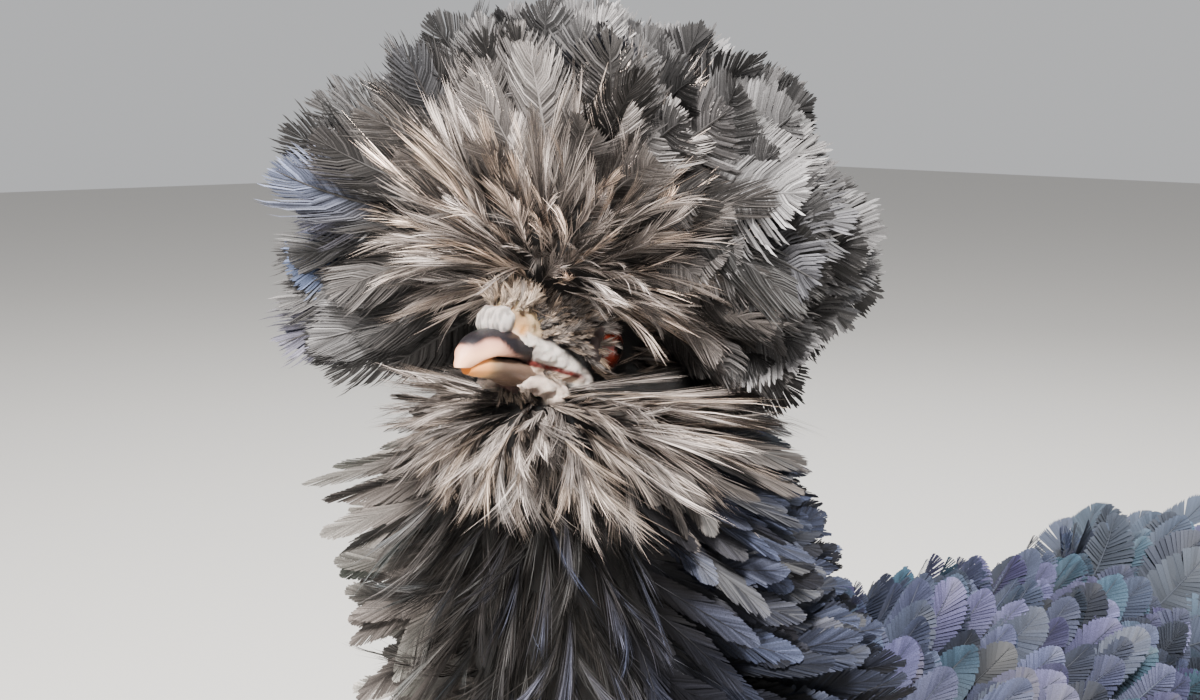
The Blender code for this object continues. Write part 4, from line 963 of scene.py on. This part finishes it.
def thigh_feathers(sign):
    t = steps(190, 0.04, 0.94)
    count = len(t)
    root, out, along, uv = loft_roots(thigh_loft(sign), t)
    return follicles(
        root - out * 0.002, out, along + RNG.normal(0, 0.10, (count, 3)), uv, lift=normal(count, 12, 4),
        curl=normal(count, 18, 8), length=(0.027 - 0.011 * t) * normal(count, 1, 0.1),
        width=(0.0120 - 0.005 * t) * normal(count, 1, 0.1), twist=normal(count, 0, 10),
        tint=BLUE_BLACK * normal(count, 0.65, 0.14)[:, None],
    )


# Materials


def set_sockets(node, **values):
    """Sets constants on a node's own sockets, with _ for each space in a socket's name."""
    for socket, value in values.items():
        node.inputs[socket.replace("_", " ")].default_value = value
    return node


def shader_of(name, **values):
    """A material with nodes, and its shader."""
    made = bpy.data.materials.new(name)
    made.use_nodes = True
    return made, set_sockets(made.node_tree.nodes["Principled BSDF"], **values)


def grained(made, shader, scale, low, high, detail=2, bump=None):
    """Colours a material as painted, lighter and darker by a noise; bump is its strength and its depth."""
    nodes, links = made.node_tree.nodes, made.node_tree.links
    colour = nodes.new("ShaderNodeAttribute")
    colour.attribute_name = "plume"
    noise = set_sockets(nodes.new("ShaderNodeTexNoise"), Scale=scale, Detail=detail)
    span = set_sockets(nodes.new("ShaderNodeMapRange"), From_Min=0.3, From_Max=0.7, To_Min=low, To_Max=high)
    links.new(noise.outputs["Fac"], span.inputs["Value"])
    grain = nodes.new("ShaderNodeMix")
    grain.data_type = "RGBA"
    grain.blend_type = "MULTIPLY"
    grain.inputs["Factor"].default_value = 1.0
    links.new(colour.outputs["Color"], grain.inputs["A"])
    links.new(span.outputs["Result"], grain.inputs["B"])
    links.new(grain.outputs["Result"], shader.inputs["Base Color"])
    if bump:
        raised = set_sockets(nodes.new("ShaderNodeBump"), Strength=bump[0], Distance=bump[1])
        links.new(noise.outputs["Fac"], raised.inputs["Height"])
        links.new(raised.outputs["Normal"], shader.inputs["Normal"])
    return made


def feather_material():
    """Dark barbs with a soft gloss."""
    return grained(*shader_of("plumage", Roughness=0.48, Specular_IOR_Level=0.12), 700, 0.6, 1.4)


def skin_material():
    """Bare skin, dusty and finely wrinkled, dark as painted shade where feathers cover it."""
    finish = shader_of(
        "skin", Roughness=0.62, Specular_IOR_Level=0.25, Subsurface_Weight=0.12,
        Subsurface_Radius=(0.0020, 0.0008, 0.0005),
    )
    return grained(*finish, 3400, 0.40, 1.30, detail=4, bump=(0.9, 0.0006))


def horn_material(name, roughness, low=0.9, high=1.1):
    finish = shader_of(
        name, Roughness=roughness, Specular_IOR_Level=0.35, Coat_Weight=0.06, Coat_Roughness=0.20,
    )
    return grained(*finish, 420, low, high, detail=4, bump=(0.25, 0.0003))


def eye_material():
    return grained(*shader_of("wet eye", Roughness=0.18, Coat_Weight=1.0, Coat_Roughness=0.03), 900, 0.8, 1.2)


# Skin


SKULL_ROWS = (
    (0, -0.0225, -0.0030, 0.0050, 0.0058),
    (0, -0.0180, -0.0028, 0.0072, 0.0088),
    (0, -0.0110, -0.0016, 0.0110, 0.0122),
    (0, -0.0030, -0.0002, 0.0138, 0.0150),
    (0, 0.0060, 0.0008, 0.0150, 0.0164),
    (0, 0.0140, 0.0000, 0.0136, 0.0150),
    (0, 0.0205, -0.0020, 0.0092, 0.0104),
    (0, 0.0235, -0.0030, 0.0040, 0.0050),
)
# Folds of the bare face as rows of (x to the side, y, z, radius): over the mouth, and under it
GAPE_FOLD = (
    (0.0044, -0.0266, 0.0006, 0.0012),
    (0.0062, -0.0221, -0.0011, 0.0014),
    (0.0076, -0.0164, -0.0036, 0.0015),
    (0.0090, -0.0103, -0.0064, 0.0014),
    (0.0098, -0.0076, -0.0082, 0.0010),
)
CHIN_FOLD = (
    (0.0036, -0.0262, -0.0084, 0.0009),
    (0.0052, -0.0232, -0.0087, 0.0013),
    (0.0068, -0.0190, -0.0091, 0.0016),
    (0.0082, -0.0145, -0.0095, 0.0012),
)
# Raised skin behind the nostrils, up to the hairline
BROW_AT = np.array([0.0, -0.0225, 0.0028])
BROW_HALVES = np.array([0.0050, 0.0062, 0.0054])
# Orange stain between the nostrils and the fold over the mouth, on both sides
STAIN_AT = np.array([0.0042, -0.0262, 0.0030])
# Points round each form that the skin is made from
SKIN_SIDES = 28


def fold_loft(rows, sign):
    return rows_loft([(sign * x, y, z, r, r) for x, y, z, r in rows])


def on_one_side(points):
    """Points of the head frame, with those on the hen's right brought over to its left."""
    return np.stack([np.abs(points[:, 0]), points[:, 1], points[:, 2]], axis=-1)


def near_fold(points, rows):
    """How far points lie from a fold's line, in its radii."""
    aside = on_one_side(points)
    best = np.full(len(points), 9.0)
    fold = fold_loft(rows, 1)
    for t in np.linspace(0, 1, 24):
        centre, radius = fold.centre(np.array(t)), fold.halves(np.array(t))[0]
        best = np.minimum(best, np.linalg.norm(aside - centre, axis=-1) / radius)
    return best


def ripple(points, scale, seed):
    """A smooth noise over points, made of waves in random directions."""
    rng = np.random.default_rng(seed)
    total = np.zeros(len(points))
    for _ in range(24):
        way = unit(rng.normal(0, 1, 3)) * scale * rng.uniform(0.6, 1.6)
        total += np.sin(points @ way + rng.uniform(0, 6.3))
    return total / math.sqrt(12)


def skin_colours(local):
    """Dark as painted shade under the coat; dusty white over the mouth and at the chin, straw behind the
    nostrils.
    """
    shade_under_coat = np.array([0.012, 0.011, 0.011])
    dusty = np.array([0.88, 0.79, 0.72])
    flesh = np.array([0.10, 0.050, 0.042])
    red = np.array([0.17, 0.022, 0.016])
    lip_tone = np.array([0.66, 0.48, 0.36])
    straw = np.array([0.70, 0.50, 0.30])
    orange = np.array([0.62, 0.30, 0.09])
    chin_tone = np.array([0.82, 0.66, 0.56])
    side = np.abs(local[:, 0])
    face = smooth_step(-local[:, 1], 0.0180, 0.0215) * smooth_step(local[:, 2], -0.0125, -0.0105)
    face = face * smooth_step(-local[:, 2], -0.0100, -0.0080)
    gape = smooth_step(-near_fold(local, GAPE_FOLD), -2.0, -1.2)
    chin = smooth_step(-near_fold(local, CHIN_FOLD), -2.0, -1.1)
    brow = smooth_step(-np.linalg.norm((local - BROW_AT) / BROW_HALVES, axis=-1), -1.30, -1.08)
    stain = smooth_step(-np.linalg.norm(on_one_side(local) - STAIN_AT, axis=-1), -0.0034, -0.0012)
    colours = shade_under_coat + (flesh - shade_under_coat) * (face * (0.75 + 0.25 * ripple(local, 900, 1)))[:, None]
    from_mouth = local[:, 2] - mouth_height(local[:, 1])
    by_mouth = smooth_step(-local[:, 1], 0.0080, 0.0110) * smooth_step(side, 0.0035, 0.0050)
    line = smooth_step(-np.abs(from_mouth), -0.0007, -0.0003) * by_mouth
    lip = smooth_step(-np.abs(from_mouth + 0.0011), -0.0008, -0.0003) * by_mouth
    tones = (
        (straw, brow), (dusty, gape), (chin_tone, chin), (orange, 0.75 * stain), (lip_tone, lip), (red, line),
    )
    for tone, share in tones:
        colours = mixed(colours, tone, np.clip(share * (0.9 + 0.25 * ripple(local, 1400, 2)), 0, 1))
    return np.clip(colours, 0.004, 1)


def skin_forms():
    """Grids of the closed forms that the skin is made from, in the anatomy's frame."""
    sides = SKIN_SIDES
    under_crest = ellipsoid_loft(CREST_CORE_AT, CREST_CORE_HALVES * 0.93).grid(24, sides)
    under_beard = ellipsoid_loft(BEARD_CORE_AT, BEARD_CORE_HALVES * 0.92).grid(24, sides)
    folds = [fold_loft(rows, sign) for rows in (GAPE_FOLD, CHIN_FOLD) for sign in SIDES.values()]
    head = [
        rows_loft(SKULL_ROWS).grid(30, sides),
        held(under_crest, crest_floor, 0.0, over=True),
        held(under_beard, muff_ceiling, 0.0, over=False),
        ellipsoid_loft(BROW_AT, BROW_HALVES).grid(20, sides),
        *(fold.grid(20, sides) for fold in folds),
    ]
    return [
        *(from_head(grid) for grid in head),
        torso_loft().grid(30, sides),
        neck_loft().grid(24, sides),
        *(thigh_loft(sign).grid(16, sides, 0.02, 0.98) for sign in SIDES.values()),
        rows_loft(tail_rows(), up=TAIL_UP).grid(16, sides, 0.02, 0.98),
    ]


def skin(material):
    """One skin over head, neck, body, thighs and the tail's root, inside the coat's own cores."""
    points, faces, count = [], [], 0
    for grid in skin_forms():
        faces += [tuple(c + count for c in face) for face in tube_faces(len(grid) // SKIN_SIDES, SKIN_SIDES)]
        points.append(grid)
        count += len(grid)
    made = new_mesh("skin", np.concatenate(points), faces, material)
    remesh = made.modifiers.new("one surface", "REMESH")
    remesh.mode = "VOXEL"
    remesh.voxel_size = 0.0012
    made.modifiers.new("soft", "SMOOTH").iterations = 3
    graph = bpy.context.evaluated_depsgraph_get()
    mesh = bpy.data.meshes.new_from_object(made.evaluated_get(graph))
    made.modifiers.clear()
    made.data = mesh
    refine_face(mesh)
    mesh.polygons.foreach_set("use_smooth", [True] * len(mesh.polygons))
    places = np.zeros(len(mesh.vertices) * 3)
    mesh.vertices.foreach_get("co", places)
    paint(mesh, skin_colours(to_head(places.reshape(-1, 3) - SHIFT)))
    flesh = ("torso", "neck", "tail", "crest", "beard", "muff_left", "muff_right", "head")
    settle(made, "face_skin", *flesh, *(f"thigh_{side}" for side in SIDES))


def refine_face(mesh):
    """Finer faces, with wrinkles, where the bare skin is."""
    editor = bmesh.new()
    editor.from_mesh(mesh)

    def bare(corner):
        x, y, z = to_head(np.array(corner.co)[None] - SHIFT)[0]
        return y < -0.004 and -0.016 < z < 0.009 and abs(x) < 0.016

    edges = [e for e in editor.edges if bare(e.verts[0]) and bare(e.verts[1])]
    bmesh.ops.subdivide_edges(editor, edges=edges, cuts=2, use_grid_fill=True)
    corners = [v for v in editor.verts if bare(v)]
    editor.normal_update()
    places = to_head(np.array([v.co for v in corners]) - SHIFT)
    folds = 0.00016 * ripple(places * (1.0, 0.5, 1.4), 1900, 3) + 0.00010 * ripple(places, 4200, 4)
    moves = [v.normal * float(amount) for v, amount in zip(corners, folds)]
    for corner, move in zip(corners, moves):
        corner.co += move
    editor.to_mesh(mesh)
    editor.free()


def tail_rows():
    """The tail's root as rows for rows_loft."""
    rows = []
    for along, rise, wide, high in TAIL_CORE_ROWS:
        rows.append((*(TAIL_ROOT + TAIL_AXIS * along + TAIL_UP * rise), wide, high))
    return rows


def face_down(material):
    """Tiny dark feathers over the face, thin in front of the eye."""
    root, out, along, _ = loft_roots(rows_loft(SKULL_ROWS), steps(2400, 0.06, 0.68), 0.2)
    eye = np.linalg.norm(on_one_side(root) - EYE_AT - (0.0045, 0, 0), axis=-1)
    bare = (near_fold(root, GAPE_FOLD) < 2.0) | (near_fold(root, CHIN_FOLD) < 2.1)
    bare |= (root[:, 1] < -0.0205) & (np.abs(root[:, 2]) < 0.007)
    kept = (eye > LID_RADIUS + 0.0006) & (root[:, 2] > -0.0120) & ~bare
    root, out, along = root[kept], out[kept], along[kept]
    count = len(root)
    back = smooth_step(root[:, 1], -0.018, 0.000)
    f = follicles(
        root, out, along + RNG.normal(0, 0.22, (count, 3)) - UP * 0.15, root[:, 1:] * 12 + 0.5,
        lift=normal(count, 24, 10), curl=normal(count, 10, 14),
        length=(0.0035 + 0.0045 * back) * normal(count, 1, 0.2), width=0.0012 * normal(count, 1, 0.3),
        sway=normal(count, 0, 0.2),
        tint=mixed(BROWN_BLACK, TAN, RNG.random(count) ** 2 * 0.7) * normal(count, 1.0, 0.3)[:, None],
    )
    grow("face_down", material, ["head"], [(f, DOWN)], from_head)


def brow_tufts(material):
    """Small pale feathers on the raised skin over the nostrils."""
    rays, away, _, uv = spiral(330, math.radians(80), math.radians(70))
    root = BROW_AT + rays * BROW_HALVES
    kept = root[:, 2] > NOSTRIL_AT[2] + NOSTRIL_HALVES[2] * 0.7
    rays, away, uv, root = (a[kept] for a in (rays, away, uv, root))
    count = len(rays)
    lie = away * 0.3 + np.array([0, 0.1, 1.0]) + RNG.normal(0, 0.3, (count, 3))
    pale_tip = np.array([0.42, 0.32, 0.24])
    f = follicles(
        root, rays, lie, uv, lift=normal(count, 26, 12), curl=normal(count, 15, 20),
        length=0.0046 * normal(count, 1, 0.25), width=0.0011 * normal(count, 1, 0.3),
        sway=normal(count, 0, 0.2), roll=normal(count, 0, 30),
        tint=mixed(BROWN_BLACK * 2, pale_tip, RNG.random(count) ** 0.7),
    )
    grow("brow_tufts", material, ["head"], [(f, DOWN)], from_head)


# Bill


UPPER_ROWS = (
    (0, -0.0150, -0.0006, 0.0062, 0.0040),
    (0, -0.0225, -0.0012, 0.0059, 0.0037),
    (0, -0.0285, -0.0012, 0.0054, 0.0036),
    (0, -0.0330, -0.0018, 0.0044, 0.0034),
    (0, -0.0366, -0.0028, 0.0030, 0.0031),
    (0, -0.0390, -0.0044, 0.0018, 0.0023),
    (0, -0.0403, -0.0062, 0.0008, 0.0012),
)
LOWER_ROWS = (
    (0, -0.0110, -0.0080, 0.0060, 0.0036),
    (0, -0.0180, -0.0068, 0.0057, 0.0031),
    (0, -0.0250, -0.0056, 0.0050, 0.0026),
    (0, -0.0310, -0.0051, 0.0040, 0.0024),
    (0, -0.0350, -0.0053, 0.0028, 0.0019),
    (0, -0.0380, -0.0058, 0.0011, 0.0010),
)
# Lines as rows of (y, height): the mouth, and how far over it the slate of the ridge comes down
MOUTH_LINE = (
    (-0.0600, -0.0060),
    (-0.0385, -0.0056),
    (-0.0358, -0.0038),
    (-0.0330, -0.0030),
    (-0.0270, -0.0033),
    (-0.0180, -0.0049),
    (-0.0090, -0.0065),
    (0.0100, -0.0080),
)
SLATE_LINE = ((-0.0400, 0.0040), (-0.0375, 0.0034), (-0.0330, 0.0026), (-0.0270, 0.0009), (-0.0225, -0.0014))
NOSTRIL_AT = np.array([0.0011, -0.0285, 0.0034])
NOSTRIL_HALVES = np.array([0.0027, 0.0031, 0.0031])


def line_height(rows, y):
    ys, heights = zip(*rows)
    return np.interp(y, ys, heights)


def mouth_height(y):
    return line_height(MOUTH_LINE, y)


def horn_colours(local, upper):
    """Slate along the ridge and at the base, cream on the side, amber at the lower half's tip."""
    slate = np.array([0.007, 0.006, 0.008])
    cream = np.array([0.84, 0.45, 0.27])
    pink = np.array([0.26, 0.115, 0.105])
    amber = np.array([0.62, 0.22, 0.04])
    brown = np.array([0.065, 0.040, 0.034])
    y = local[:, 1]
    wobble = 0.0006 * ripple(local, 700, 5)
    over_mouth = local[:, 2] - mouth_height(y)
    if upper:
        from_slate = over_mouth + wobble - line_height(SLATE_LINE, y)
        colours = mixed(cream, pink, 0.75 * smooth_step(from_slate, -0.0032, 0.0002))
        colours = mixed(colours, slate, smooth_step(from_slate, -0.0004, 0.0007))
        rim = smooth_step(-over_mouth, -0.0005, -0.0001) * smooth_step(y, -0.0340, -0.0300)
        return mixed(colours, brown, 0.9 * rim)
    olive = np.array([0.34, 0.23, 0.12])
    colours = mixed(olive, amber, smooth_step(-y + wobble, 0.0330, 0.0365))
    return mixed(colours, brown, smooth_step(y + wobble, -0.0345, -0.0300) * 0.9)


def bill(material):
    rings, sides = 56, 48
    for name, rows, upper in (("beak_upper", UPPER_ROWS, True), ("beak_lower", LOWER_ROWS, False)):
        grid = rows_loft(rows).grid(rings, sides)
        mouth = mouth_height(grid[:, 1])
        if upper:
            # A ridge along the top, and cutting edges that stand a little over the lower half
            grid[:, 0] *= 1 - 0.16 * smooth_step(grid[:, 2] - mouth, 0.0030, 0.0090)
            grid[:, 2] = np.maximum(grid[:, 2], mouth + 0.0001)
        else:
            grid[:, 2] = np.minimum(grid[:, 2], mouth - 0.0003)
        local = grid + 0.00005 * ripple(grid, 1600, 6)[:, None]
        colours = horn_colours(local, upper)
        faces = tube_faces(rings, sides)
        solid_piece(name + "_horn", from_head(local), faces, colours, material, "bill_horn", name)


def nostrils(material):
    """The raised, dusty nostril covers of the breed, each with a slit along its rear edge."""
    dusty, rust = np.array([0.72, 0.64, 0.60]), np.array([0.42, 0.17, 0.06])
    for side, sign in SIDES.items():
        at = NOSTRIL_AT * (sign, 1, 1)
        grid = ellipsoid_loft(at, NOSTRIL_HALVES).grid(40, 40)
        streaks = ripple(grid * (1, 0.3, 0.25), 6500, 7)
        grid += 0.00012 * unit(grid - at) * streaks[:, None]
        slit_at = at + np.array([sign * 0.0020, 0.0023, 0.0])
        slit = np.linalg.norm((grid - slit_at) / (0.0013, 0.0009, 0.0028), axis=-1)
        grid -= unit(grid - at) * (0.0007 * smooth_step(-slit, -1.3, -0.4))[:, None]
        colours = mixed(dusty * 0.62, dusty * 1.15, smooth_step(streaks, -1.0, 0.4))
        colours = mixed(colours, rust, 0.85 * smooth_step(-slit, -1.5, -0.7))
        faces = tube_faces(40, 40)
        solid_piece(f"nostril_{side}", from_head(grid), faces, colours, material, "bill_horn", "beak_upper")


# Eyes


def eye(side, sign, material):
    # The iris is painted dark as painted shade, as the eye lies under the crest
    black, iris = np.array([0.004, 0.004, 0.004]), np.array([0.11, 0.012, 0.005])
    rim = np.array([0.05, 0.02, 0.015])
    grid = ellipsoid_loft(EYE_AT * (sign, 1, 1), np.full(3, EYE_RADIUS)).grid(40, 40)
    away = unit(grid - EYE_AT * (sign, 1, 1))
    off_axis = np.arccos(np.clip(away[:, 0] * sign, -1, 1))
    grid += away * (0.0004 * smooth_step(-off_axis, -0.62, -0.2))[:, None]
    turn = np.arctan2(away[:, 2], away[:, 1])
    streak = 1 + 0.25 * np.sin(turn * 41) * np.sin(turn * 17 + 1)
    colours = mixed(rim, iris, smooth_step(-off_axis, -0.74, -0.66)) * streak[:, None]
    colours = mixed(colours, black, smooth_step(-off_axis, -0.34, -0.29))
    faces = tube_faces(40, 40)
    solid_piece("eye_ball_" + side, from_head(grid), faces, colours, material, "eye", "eye_" + side)


def lid(side, sign, material):
    """A wrinkled ring round the eye."""
    sides, rings = 14, 56
    middle = np.array([sign * LID_AT, EYE_AT[1], EYE_AT[2]])
    ring = np.repeat(np.linspace(0, 2 * math.pi, rings, endpoint=False), sides)
    turn = np.tile(np.linspace(0, 2 * math.pi, sides, endpoint=False), rings)
    ray = np.stack([0 * ring, np.cos(ring), np.sin(ring) * 0.80], axis=-1)
    wrinkle = 1 + 0.10 * np.sin(ring * 23) + 0.06 * np.sin(ring * 9 + 1)
    out = LID_RADIUS + 0.0012 * np.sin(turn) * wrinkle
    inward = sign * (0.0011 * np.cos(turn) * wrinkle - 0.10 * LID_RADIUS * np.abs(np.cos(ring)))
    points = middle + ray * out[:, None] + np.stack([inward, 0 * ring, 0 * ring], axis=-1)
    faces = []
    for k in range(rings):
        here, on = k * sides, (k + 1) % rings * sides
        for j in range(sides):
            after = (j + 1) % sides
            faces.append((here + j, here + after, on + after, on + j))
    colours = np.full(points.shape, (0.060, 0.042, 0.040))
    solid_piece("eye_lid_" + side, from_head(points), faces, colours, material, "face_skin", "head")


# Legs


def plated(loft, rings, sides, plates, depth):
    """A limb whose front carries overlapping plates and whose back small scales."""
    grid = loft.grid(rings, sides)
    t = np.repeat((1 - np.cos(np.linspace(0, math.pi, rings))) / 2, sides)
    angle = np.tile(np.linspace(0, 2 * math.pi, sides, endpoint=False), rings)
    centre = np.repeat(grid.reshape(rings, sides, 3).mean(axis=1), sides, axis=0)
    front = smooth_step(np.sin(angle), -0.1, 0.4)
    plate = (t * plates) % 1.0
    small = np.sin(t * plates * 2 * 2 * math.pi + np.round(angle * 6 / math.pi) * 3.1) * np.cos(angle * 12)
    swell = front * (plate**0.7 - 0.5) + (1 - front) * 0.30 * small
    return grid + unit(grid - centre) * (depth * swell)[:, None], plate, front


def limb(name, loft, rings, sides, plates, depth, material):
    """A scaled piece of the leg, dark along the plates' edges."""
    slate, pale = np.array([0.040, 0.047, 0.056]), np.array([0.085, 0.094, 0.102])
    line = np.array([0.016, 0.017, 0.020])
    grid, plate, front = plated(loft, rings, sides, plates, depth)
    grid[:, 2] = np.maximum(grid[:, 2], 0.0)
    colours = mixed(slate, pale, 0.5 * smooth_step(plate, 0.3, 1.0))
    colours = mixed(colours, line, 0.8 * smooth_step(-plate, -0.16, -0.02) * (0.4 + 0.6 * front))
    solid_piece(name + "_scales", grid, tube_faces(rings, sides), colours, material, "leg_scales", name)


def toe_line(place, sign):
    """Where a toe starts and ends, and the way it points."""
    angle, length = TOES[place]
    heading = math.radians(angle)
    ahead = np.array([sign * math.sin(heading), -math.cos(heading), 0.0])
    start = FOOT * (sign, 1, 1) + ahead * 0.002
    start[2] = TOE_RADIUS * 0.92
    end = start + ahead * length
    end[2] = TOE_END_RADIUS * 0.92
    return start, end, ahead


def shank(side, sign, material):
    hock, foot = HOCK * (sign, 1, 1), FOOT * (sign, 1, 1)
    rows = [
        (*(hock + UP * 0.0015), 0.0062, 0.0070),
        (*(hock - UP * 0.004), 0.0066, 0.0078),
        (*(hock + (foot - hock) * 0.18), 0.0050, 0.0060),
        (*(hock + (foot - hock) * 0.5), 0.0043, 0.0050),
        (*(hock + (foot - hock) * 0.85), 0.0049, 0.0056),
        (*foot, 0.0072, 0.0080),
        (*(foot - UP * 0.0085), 0.0066, 0.0074),
    ]
    limb("shank_" + side, rows_loft(rows, up=(0, -1, 0)), 150, 28, 19, 0.0006, material)


def toe(name, place, sign, material):
    start, end, _ = toe_line(place, sign)
    rows = []
    for share, radius in TOE_ROWS:
        r = TOE_RADIUS * radius
        rows.append((*(start + (end - start) * share), r, r * 0.92))
    limb("toe_" + name, rows_loft(rows), 90, 24, int(TOES[place][1] / TOE_PLATE), 0.0005, material)


def claw(name, place, sign, material):
    _, end, ahead = toe_line(place, sign)
    tip = end + ahead * CLAW_LENGTH
    tip[2] = 0.0006
    rows = [
        (*(end - ahead * 0.001), TOE_END_RADIUS * 0.80, TOE_END_RADIUS * 0.85),
        (*(end + ahead * 0.0035 + UP * 0.0006), TOE_END_RADIUS * 0.66, TOE_END_RADIUS * 0.74),
        (*(end + ahead * 0.0075), TOE_END_RADIUS * 0.40, TOE_END_RADIUS * 0.46),
        (*tip, 0.0003, 0.0004),
    ]
    grid = rows_loft(rows).grid(30, 20)
    grid[:, 2] = np.maximum(grid[:, 2], 0.0)
    share = smooth_step((grid - end) @ ahead, 0.001, CLAW_LENGTH)
    colours = mixed(np.array([0.16, 0.14, 0.12]), np.array([0.05, 0.045, 0.04]), share)
    faces = tube_faces(30, 20)
    solid_piece(f"claw_{name}_horn", grid, faces, colours, material, "claw_horn", "claw_" + name)


def leg(side, sign, scales, horn):
    shank(side, sign, scales)
    for place in TOES:
        toe(f"{side}_{place}", place, sign, scales)
        claw(f"{side}_{place}", place, sign, horn)


# Stage


def view_axes():
    """The ways to the right, up and ahead in the photo's view."""
    right = np.array([math.cos(VIEW_AZIMUTH), math.sin(VIEW_AZIMUTH), 0.0])
    level = np.array([-math.sin(VIEW_AZIMUTH), math.cos(VIEW_AZIMUTH), 0.0])
    ahead = level * math.cos(VIEW_PITCH) - UP * math.sin(VIEW_PITCH)
    return right, np.cross(right, ahead), ahead


def camera():
    right, up, ahead = view_axes()
    x = (EYES_PIXEL[0] - PICTURE[0] / 2) / FOCAL_PIXELS * EYES_DEPTH
    y = (PICTURE[1] / 2 - EYES_PIXEL[1]) / FOCAL_PIXELS * EYES_DEPTH
    place = HEAD_AT + SHIFT - (right * x + up * y + ahead * EYES_DEPTH)
    data = bpy.data.cameras.new("camera")
    data.sensor_width = 36
    data.lens = 36 * FOCAL_PIXELS / PICTURE[0]
    data.clip_start = 0.01
    made = add_object("camera", data)
    facing = Matrix(np.array([right, up, -ahead]).T.tolist()).to_4x4()
    made.matrix_world = Matrix.Translation(Vector(place)) @ facing
    bpy.context.scene.camera = made


def area_light(name, toward, distance, size, energy, colour):
    """A soft square light that looks at the head from a direction."""
    data = bpy.data.lights.new(name, "AREA")
    data.size = size
    data.energy = energy
    data.color = colour
    made = add_object(name, data)
    aim = Vector(HEAD_AT + SHIFT)
    toward = Vector(toward).normalized()
    made.location = aim + toward * distance
    made.rotation_euler = (-toward).to_track_quat("-Z", "Y").to_euler()


def stage():
    right, _, ahead = view_axes()
    lights = (
        ("key", -ahead * 0.70 - right * 0.02 + UP * 0.72, 1.3, 0.26, 120, (1.0, 0.97, 0.93)),
        ("sky", UP, 1.6, 2.2, 24, (0.92, 0.96, 1.0)),
        ("fill", -ahead, 1.3, 0.5, 3.5, (1.0, 0.97, 0.94)),
        ("side", -ahead * 0.10 + right * 0.9 + UP * 0.65, 1.4, 0.5, 11, (0.85, 0.92, 1.0)),
        ("back", ahead * 0.7 + right * 0.2 + UP * 0.7, 1.5, 0.9, 14, (0.95, 0.97, 1.0)),
    )
    for light in lights:
        area_light(*light)
    bpy.ops.mesh.primitive_plane_add(size=12)
    floor = bpy.context.object
    floor.name = "floor"
    finish, _ = shader_of("pale floor", Base_Color=(0.55, 0.53, 0.50, 1), Roughness=0.8)
    floor.data.materials.append(finish)
    world = bpy.data.worlds.new("pale studio")
    world.use_nodes = True
    set_sockets(world.node_tree.nodes["Background"], Color=(0.90, 0.91, 0.93, 1), Strength=0.62)
    bpy.context.scene.world = world


plumage = feather_material()
bare = skin_material()
skin(bare)
face_down(plumage)
brow_tufts(plumage)
bill(horn_material("bill horn", 0.34))
nostrils(bare)
wet = eye_material()
for side, sign in SIDES.items():
    eye(side, sign, wet)
    lid(side, sign, bare)
crest(plumage)
forehead(plumage)
beard(plumage)
ruff(plumage)
body(plumage)
grow("tail_feathers", plumage, ["tail"], tail_tufts())
scales = horn_material("leg scales", 0.50, 0.75, 1.25)
claws = horn_material("claw horn", 0.35, 0.8, 1.2)
for side, sign in SIDES.items():
    grow(f"wing_{side}_feathers", plumage, ["wing_" + side], wing_tiers(sign))
    grow(f"thigh_{side}_feathers", plumage, ["thigh_" + side], [(thigh_feathers(sign), PLAIN)])
    leg(side, sign, scales, claws)
camera()
stage()
